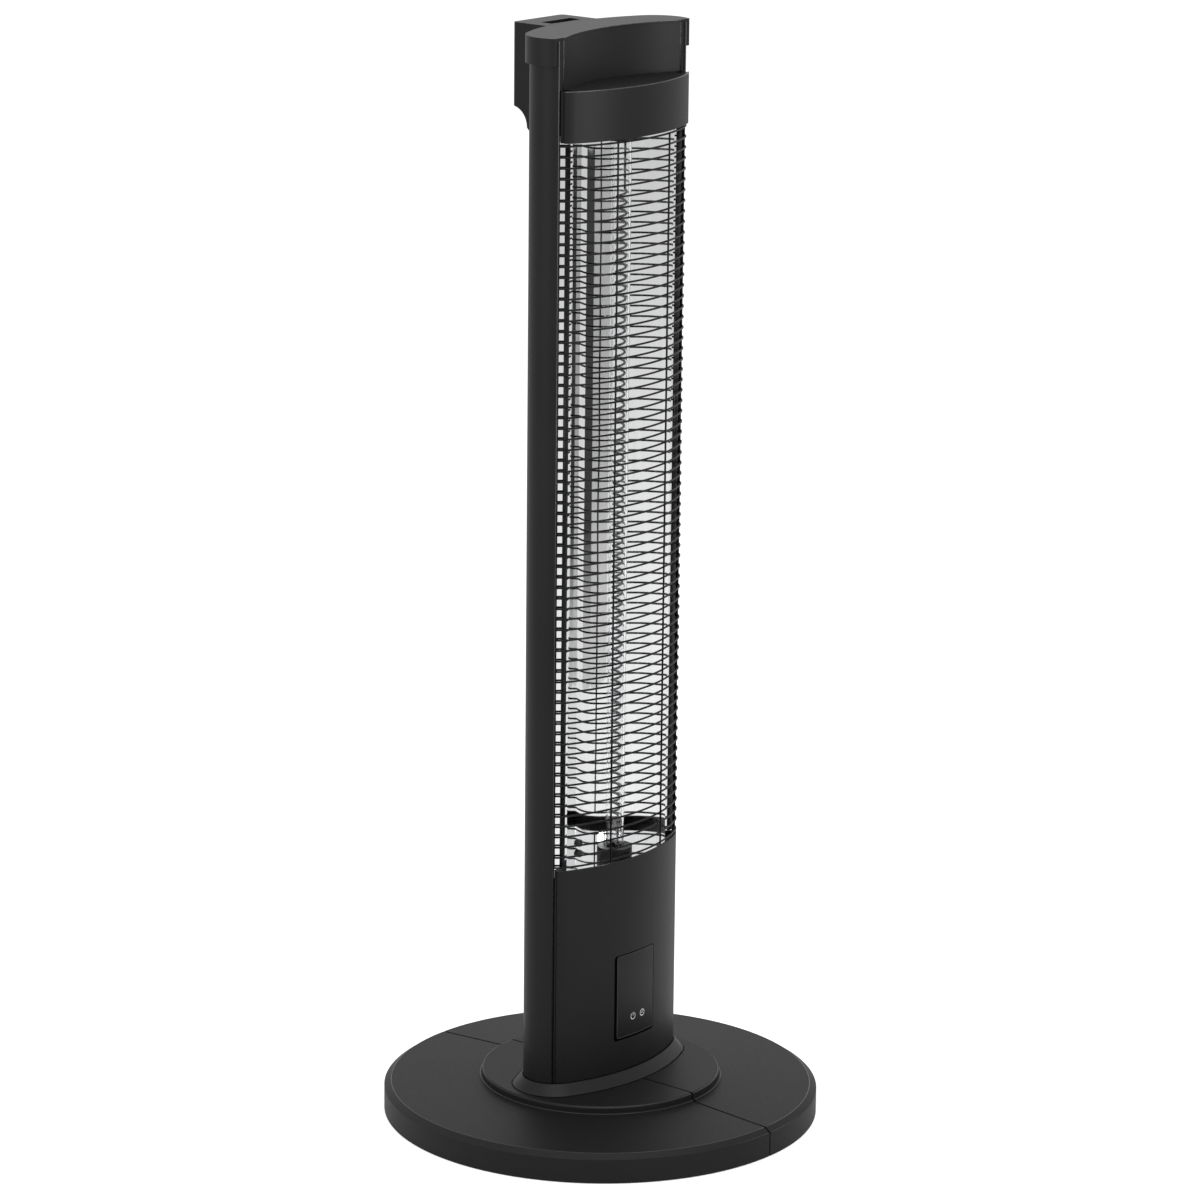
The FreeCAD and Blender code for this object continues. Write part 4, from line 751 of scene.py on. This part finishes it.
def plate_loop(shrink, inset):
    """Rounded outline of the touch plate: upper line and lower line, both from left to right."""
    left, right = PLATE_LEFT + shrink, PLATE_RIGHT - shrink
    corner = PLATE_CORNER - shrink
    turns = [math.pi / 2 * step / PLATE_STEPS for step in range(PLATE_STEPS + 1)]
    spots = [(left + corner - corner * math.cos(turn), corner - corner * math.sin(turn))
             for turn in turns]
    flat = right - left - 2 * corner
    spots += [(left + corner + flat * step / PLATE_STEPS, 0.0) for step in range(1, PLATE_STEPS)]
    spots += [(left + right - x, cut) for x, cut in reversed(spots[:PLATE_STEPS + 1])]
    upper = [on_front(x, inset, PLATE_HIGH - shrink - cut) for x, cut in spots]
    lower = [on_front(x, inset, PLATE_LOW + shrink + cut) for x, cut in spots]
    return upper, lower


def touch_plate_piece():
    """Face plate of the touch panel, with rounded corners and a rounded edge."""
    vertices = []
    faces = []
    rims = [(0.0, PLATE_FOOT_INSET)]
    for step in range(PLATE_RIM_STEPS + 1):
        turn = math.pi / 2 * step / PLATE_RIM_STEPS
        rims.append((PLATE_EDGE * (1 - math.cos(turn)),
                     PLATE_TOP_INSET + PLATE_EDGE * (1 - math.sin(turn))))
    for shrink, inset in rims:
        upper, lower = plate_loop(shrink, inset)
        vertices.extend(upper + lower[::-1])
    count = len(upper)
    loop = 2 * count
    for rim in range(len(rims) - 1):
        for index in range(loop):
            a, b = rim * loop + index, rim * loop + (index + 1) % loop
            faces.append((a, a + loop, b + loop, b))
    top = (len(rims) - 1) * loop
    for index in range(count - 1):
        a = top + index
        b = top + loop - 1 - index
        faces.append((a, b, b - 1, a + 1))
    add_piece("touch_plate", vertices, faces, panel_gloss)
    # Bead round the plate in lighter paint: painted highlight along its edge
    upper, lower = plate_loop(PLATE_EDGE / 2, PLATE_TOP_INSET + PLATE_EDGE / 3)
    vertices = []
    faces = []
    add_tube(vertices, faces, upper + lower[::-1] + upper[:1], PLATE_BEAD_R, BEAD_SIDES)
    add_piece("touch_plate_edge", vertices, faces, base_bead_highlight_paint)


def signs_piece():
    """Power sign and clock sign on the touch plate."""
    vertices = []
    faces = []

    def lay(x, z):
        return on_front(x, PLATE_TOP_INSET - SIGN_LIFT, z)

    power, clock = POWER_SIGN_X, CLOCK_SIGN_X
    for points in (
            ring(power, SIGN_Z, SIGN_R, math.pi / 2 + POWER_GAP, 2 * math.pi - 2 * POWER_GAP),
            [(power, SIGN_Z + POWER_BAR_LOW), (power, SIGN_Z + POWER_BAR_HIGH)],
            ring(clock, SIGN_Z, SIGN_R),
            [(clock, SIGN_Z + CLOCK_HAND_HIGH), (clock, SIGN_Z - CLOCK_HAND_LOW)],
            [(clock, SIGN_Z), (clock - CLOCK_HAND_SIDE, SIGN_Z)]):
        stroke(vertices, faces, points, SIGN_STROKE, lay)
    add_piece("touch_signs", vertices, faces, sign_ink, smooth=False)


def rocker_signs_piece():
    """Bar and ring on the mains rocker."""
    vertices = []
    faces = []
    rocker = face_of("main_rocker")

    def lay(x, z):
        return laid_on(rocker, (x, BEHIND_Y, z), (0, -1, 0))

    high, low = ROCKER_Z + ROCKER_SIGN_STEP, ROCKER_Z - ROCKER_SIGN_STEP
    bar = [(0, high - ROCKER_SIGN_R), (0, high + ROCKER_SIGN_R)]
    stroke(vertices, faces, bar, ROCKER_STROKE, lay)
    stroke(vertices, faces, ring(0, low, ROCKER_SIGN_R), ROCKER_STROKE, lay)
    add_piece("rocker_signs", vertices, faces, sign_ink,
              body="mains_rocker", smooth=False)


def dimple_shade_piece():
    """Two darker round discs near the ends of the cap: painted shade where the cap has dimples."""
    vertices = []
    faces = []
    cap = face_of("top_cap")

    def lay(x, y):
        return laid_on(cap, (x, y, CAD_HIGH[2]), (0, 0, -1))

    for x in (-DIMPLE_X, DIMPLE_X):
        stroke(vertices, faces, ring(x, DIMPLE_Y, DIMPLE_R / 2), DIMPLE_R, lay)
    add_piece("cap_dimple_shade", vertices, faces, rail_paint, smooth=False)


guard_piece()
trough_piece()
trim_pieces()
beads_piece()
base_edges_piece()
seam_piece()
foot_lines_piece()
spiral_piece()
touch_plate_piece()
signs_piece()
rocker_signs_piece()
dimple_shade_piece()


# Stage, light and camera


def stage_quad(name, corners):
    mesh = bpy.data.meshes.new(name)
    mesh.from_pydata(corners, [], [(0, 1, 2, 3)])
    quad = bpy.data.objects.new(name, mesh)
    bpy.context.scene.collection.objects.link(quad)
    return quad


def stage_floor():
    """Pale floor, which glows where it is seen, and less in reflections."""
    far = FLOOR_HALF
    floor = stage_quad("studio_floor",
                       [(-far, -far, 0), (far, -far, 0), (far, far, 0), (-far, far, 0)])
    floor.location.z = -FLOOR_DROP
    material = bpy.data.materials.new("studio_floor")
    material.use_nodes = True
    tree = material.node_tree
    tree.nodes.clear()
    out = tree.nodes.new("ShaderNodeOutputMaterial")
    diffuse = tree.nodes.new("ShaderNodeBsdfDiffuse")
    diffuse.inputs["Color"].default_value = (FLOOR_TONE, FLOOR_TONE, FLOOR_TONE, 1.0)
    glow = tree.nodes.new("ShaderNodeEmission")
    glow.inputs["Color"].default_value = (1.0, 1.0, 1.0, 1.0)
    light_path = tree.nodes.new("ShaderNodeLightPath")
    strength = None
    for ray, level in FLOOR_GLOW:
        scale = tree.nodes.new("ShaderNodeMath")
        scale.operation = "MULTIPLY_ADD"
        scale.inputs[1].default_value = level
        scale.inputs[2].default_value = 0.0
        tree.links.new(light_path.outputs[ray], scale.inputs[0])
        if strength is not None:
            tree.links.new(strength, scale.inputs[2])
        strength = scale.outputs[0]
    tree.links.new(strength, glow.inputs["Strength"])
    add = tree.nodes.new("ShaderNodeAddShader")
    tree.links.new(diffuse.outputs[0], add.inputs[0])
    tree.links.new(glow.outputs[0], add.inputs[1])
    tree.links.new(add.outputs[0], out.inputs["Surface"])
    floor.data.materials.append(material)


def studio_flag(name, left, right, foot_tone, top_tone, fade_low, fade_high):
    """Upright card in front of the object, shaded from its foot to its top."""
    card = stage_quad(name, [(*left, 0), (*right, 0), (*right, FLAG_HEIGHT), (*left, FLAG_HEIGHT)])
    card.visible_camera = False
    card.visible_diffuse = False
    card.visible_transmission = False
    card.visible_shadow = False
    material, tree, shader = new_material(name)
    height = tree.nodes.new("ShaderNodeSeparateXYZ")
    tree.links.new(place_coordinates(tree), height.inputs["Vector"])
    tone = ramp(tree, height.outputs["Z"], (foot_tone,) * 3, (top_tone,) * 3, fade_low, fade_high)
    tree.links.new(tone, shader.inputs["Base Color"])
    shader.inputs["Roughness"].default_value = FLAG_ROUGHNESS
    shader.inputs["Specular IOR Level"].default_value = FLAG_SPECULAR
    card.data.materials.append(material)


def studio_world():
    """White background for what sees it directly, and a softer fill light for the rest."""
    world = bpy.data.worlds.new("studio")
    bpy.context.scene.world = world
    world.use_nodes = True
    tree = world.node_tree
    tree.nodes.clear()
    out = tree.nodes.new("ShaderNodeOutputWorld")
    background = tree.nodes.new("ShaderNodeBackground")
    background.inputs["Color"].default_value = (1.0, 1.0, 1.0, 1.0)
    light_path = tree.nodes.new("ShaderNodeLightPath")
    seen = light_path.outputs["Is Camera Ray"]
    for ray in ("Is Glossy Ray", "Is Transmission Ray"):
        either = tree.nodes.new("ShaderNodeMath")
        either.operation = "MAXIMUM"
        tree.links.new(seen, either.inputs[0])
        tree.links.new(light_path.outputs[ray], either.inputs[1])
        seen = either.outputs[0]
    strength = tree.nodes.new("ShaderNodeMapRange")
    strength.inputs["To Min"].default_value = WORLD_FILL
    strength.inputs["To Max"].default_value = WORLD_SEEN
    tree.links.new(seen, strength.inputs["Value"])
    tree.links.new(strength.outputs["Result"], background.inputs["Strength"])
    tree.links.new(background.outputs[0], out.inputs["Surface"])


def area_light(name, at, towards, size, power, spread):
    data = bpy.data.lights.new(name, "AREA")
    data.spread = spread
    data.shape = "RECTANGLE"
    data.size, data.size_y = size
    data.energy = power
    lamp = bpy.data.objects.new(name, data)
    lamp.location = at
    lamp.rotation_mode = "QUATERNION"
    lamp.rotation_quaternion = (Vector(towards) - Vector(at)).to_track_quat("-Z", "Y")
    bpy.context.scene.collection.objects.link(lamp)


def photo_camera():
    forward = Vector((math.sin(CAMERA_TURN) * math.cos(CAMERA_PITCH),
                      math.cos(CAMERA_TURN) * math.cos(CAMERA_PITCH), -math.sin(CAMERA_PITCH)))
    right = Vector((math.cos(CAMERA_TURN), -math.sin(CAMERA_TURN), 0.0))
    up = right.cross(forward)
    turned_right = right * math.cos(CAMERA_ROLL) + up * math.sin(CAMERA_ROLL)
    turned_up = up * math.cos(CAMERA_ROLL) - right * math.sin(CAMERA_ROLL)
    data = bpy.data.cameras.new("photo_camera")
    data.sensor_width = SENSOR
    data.lens = LENS
    data.clip_start = CLIP_NEAR
    data.clip_end = CLIP_FAR
    camera = bpy.data.objects.new("photo_camera", data)
    rows = Matrix((turned_right, turned_up, -forward)).transposed()
    camera.matrix_world = Matrix.Translation(CAMERA_AT) @ rows.to_4x4()
    bpy.context.scene.collection.objects.link(camera)
    bpy.context.scene.camera = camera


stage_floor()
for flag in FLAGS:
    studio_flag(*flag)
studio_world()
for lamp in LAMPS:
    area_light(*lamp)
photo_camera()
bpy.context.scene.view_settings.view_transform = "Standard"
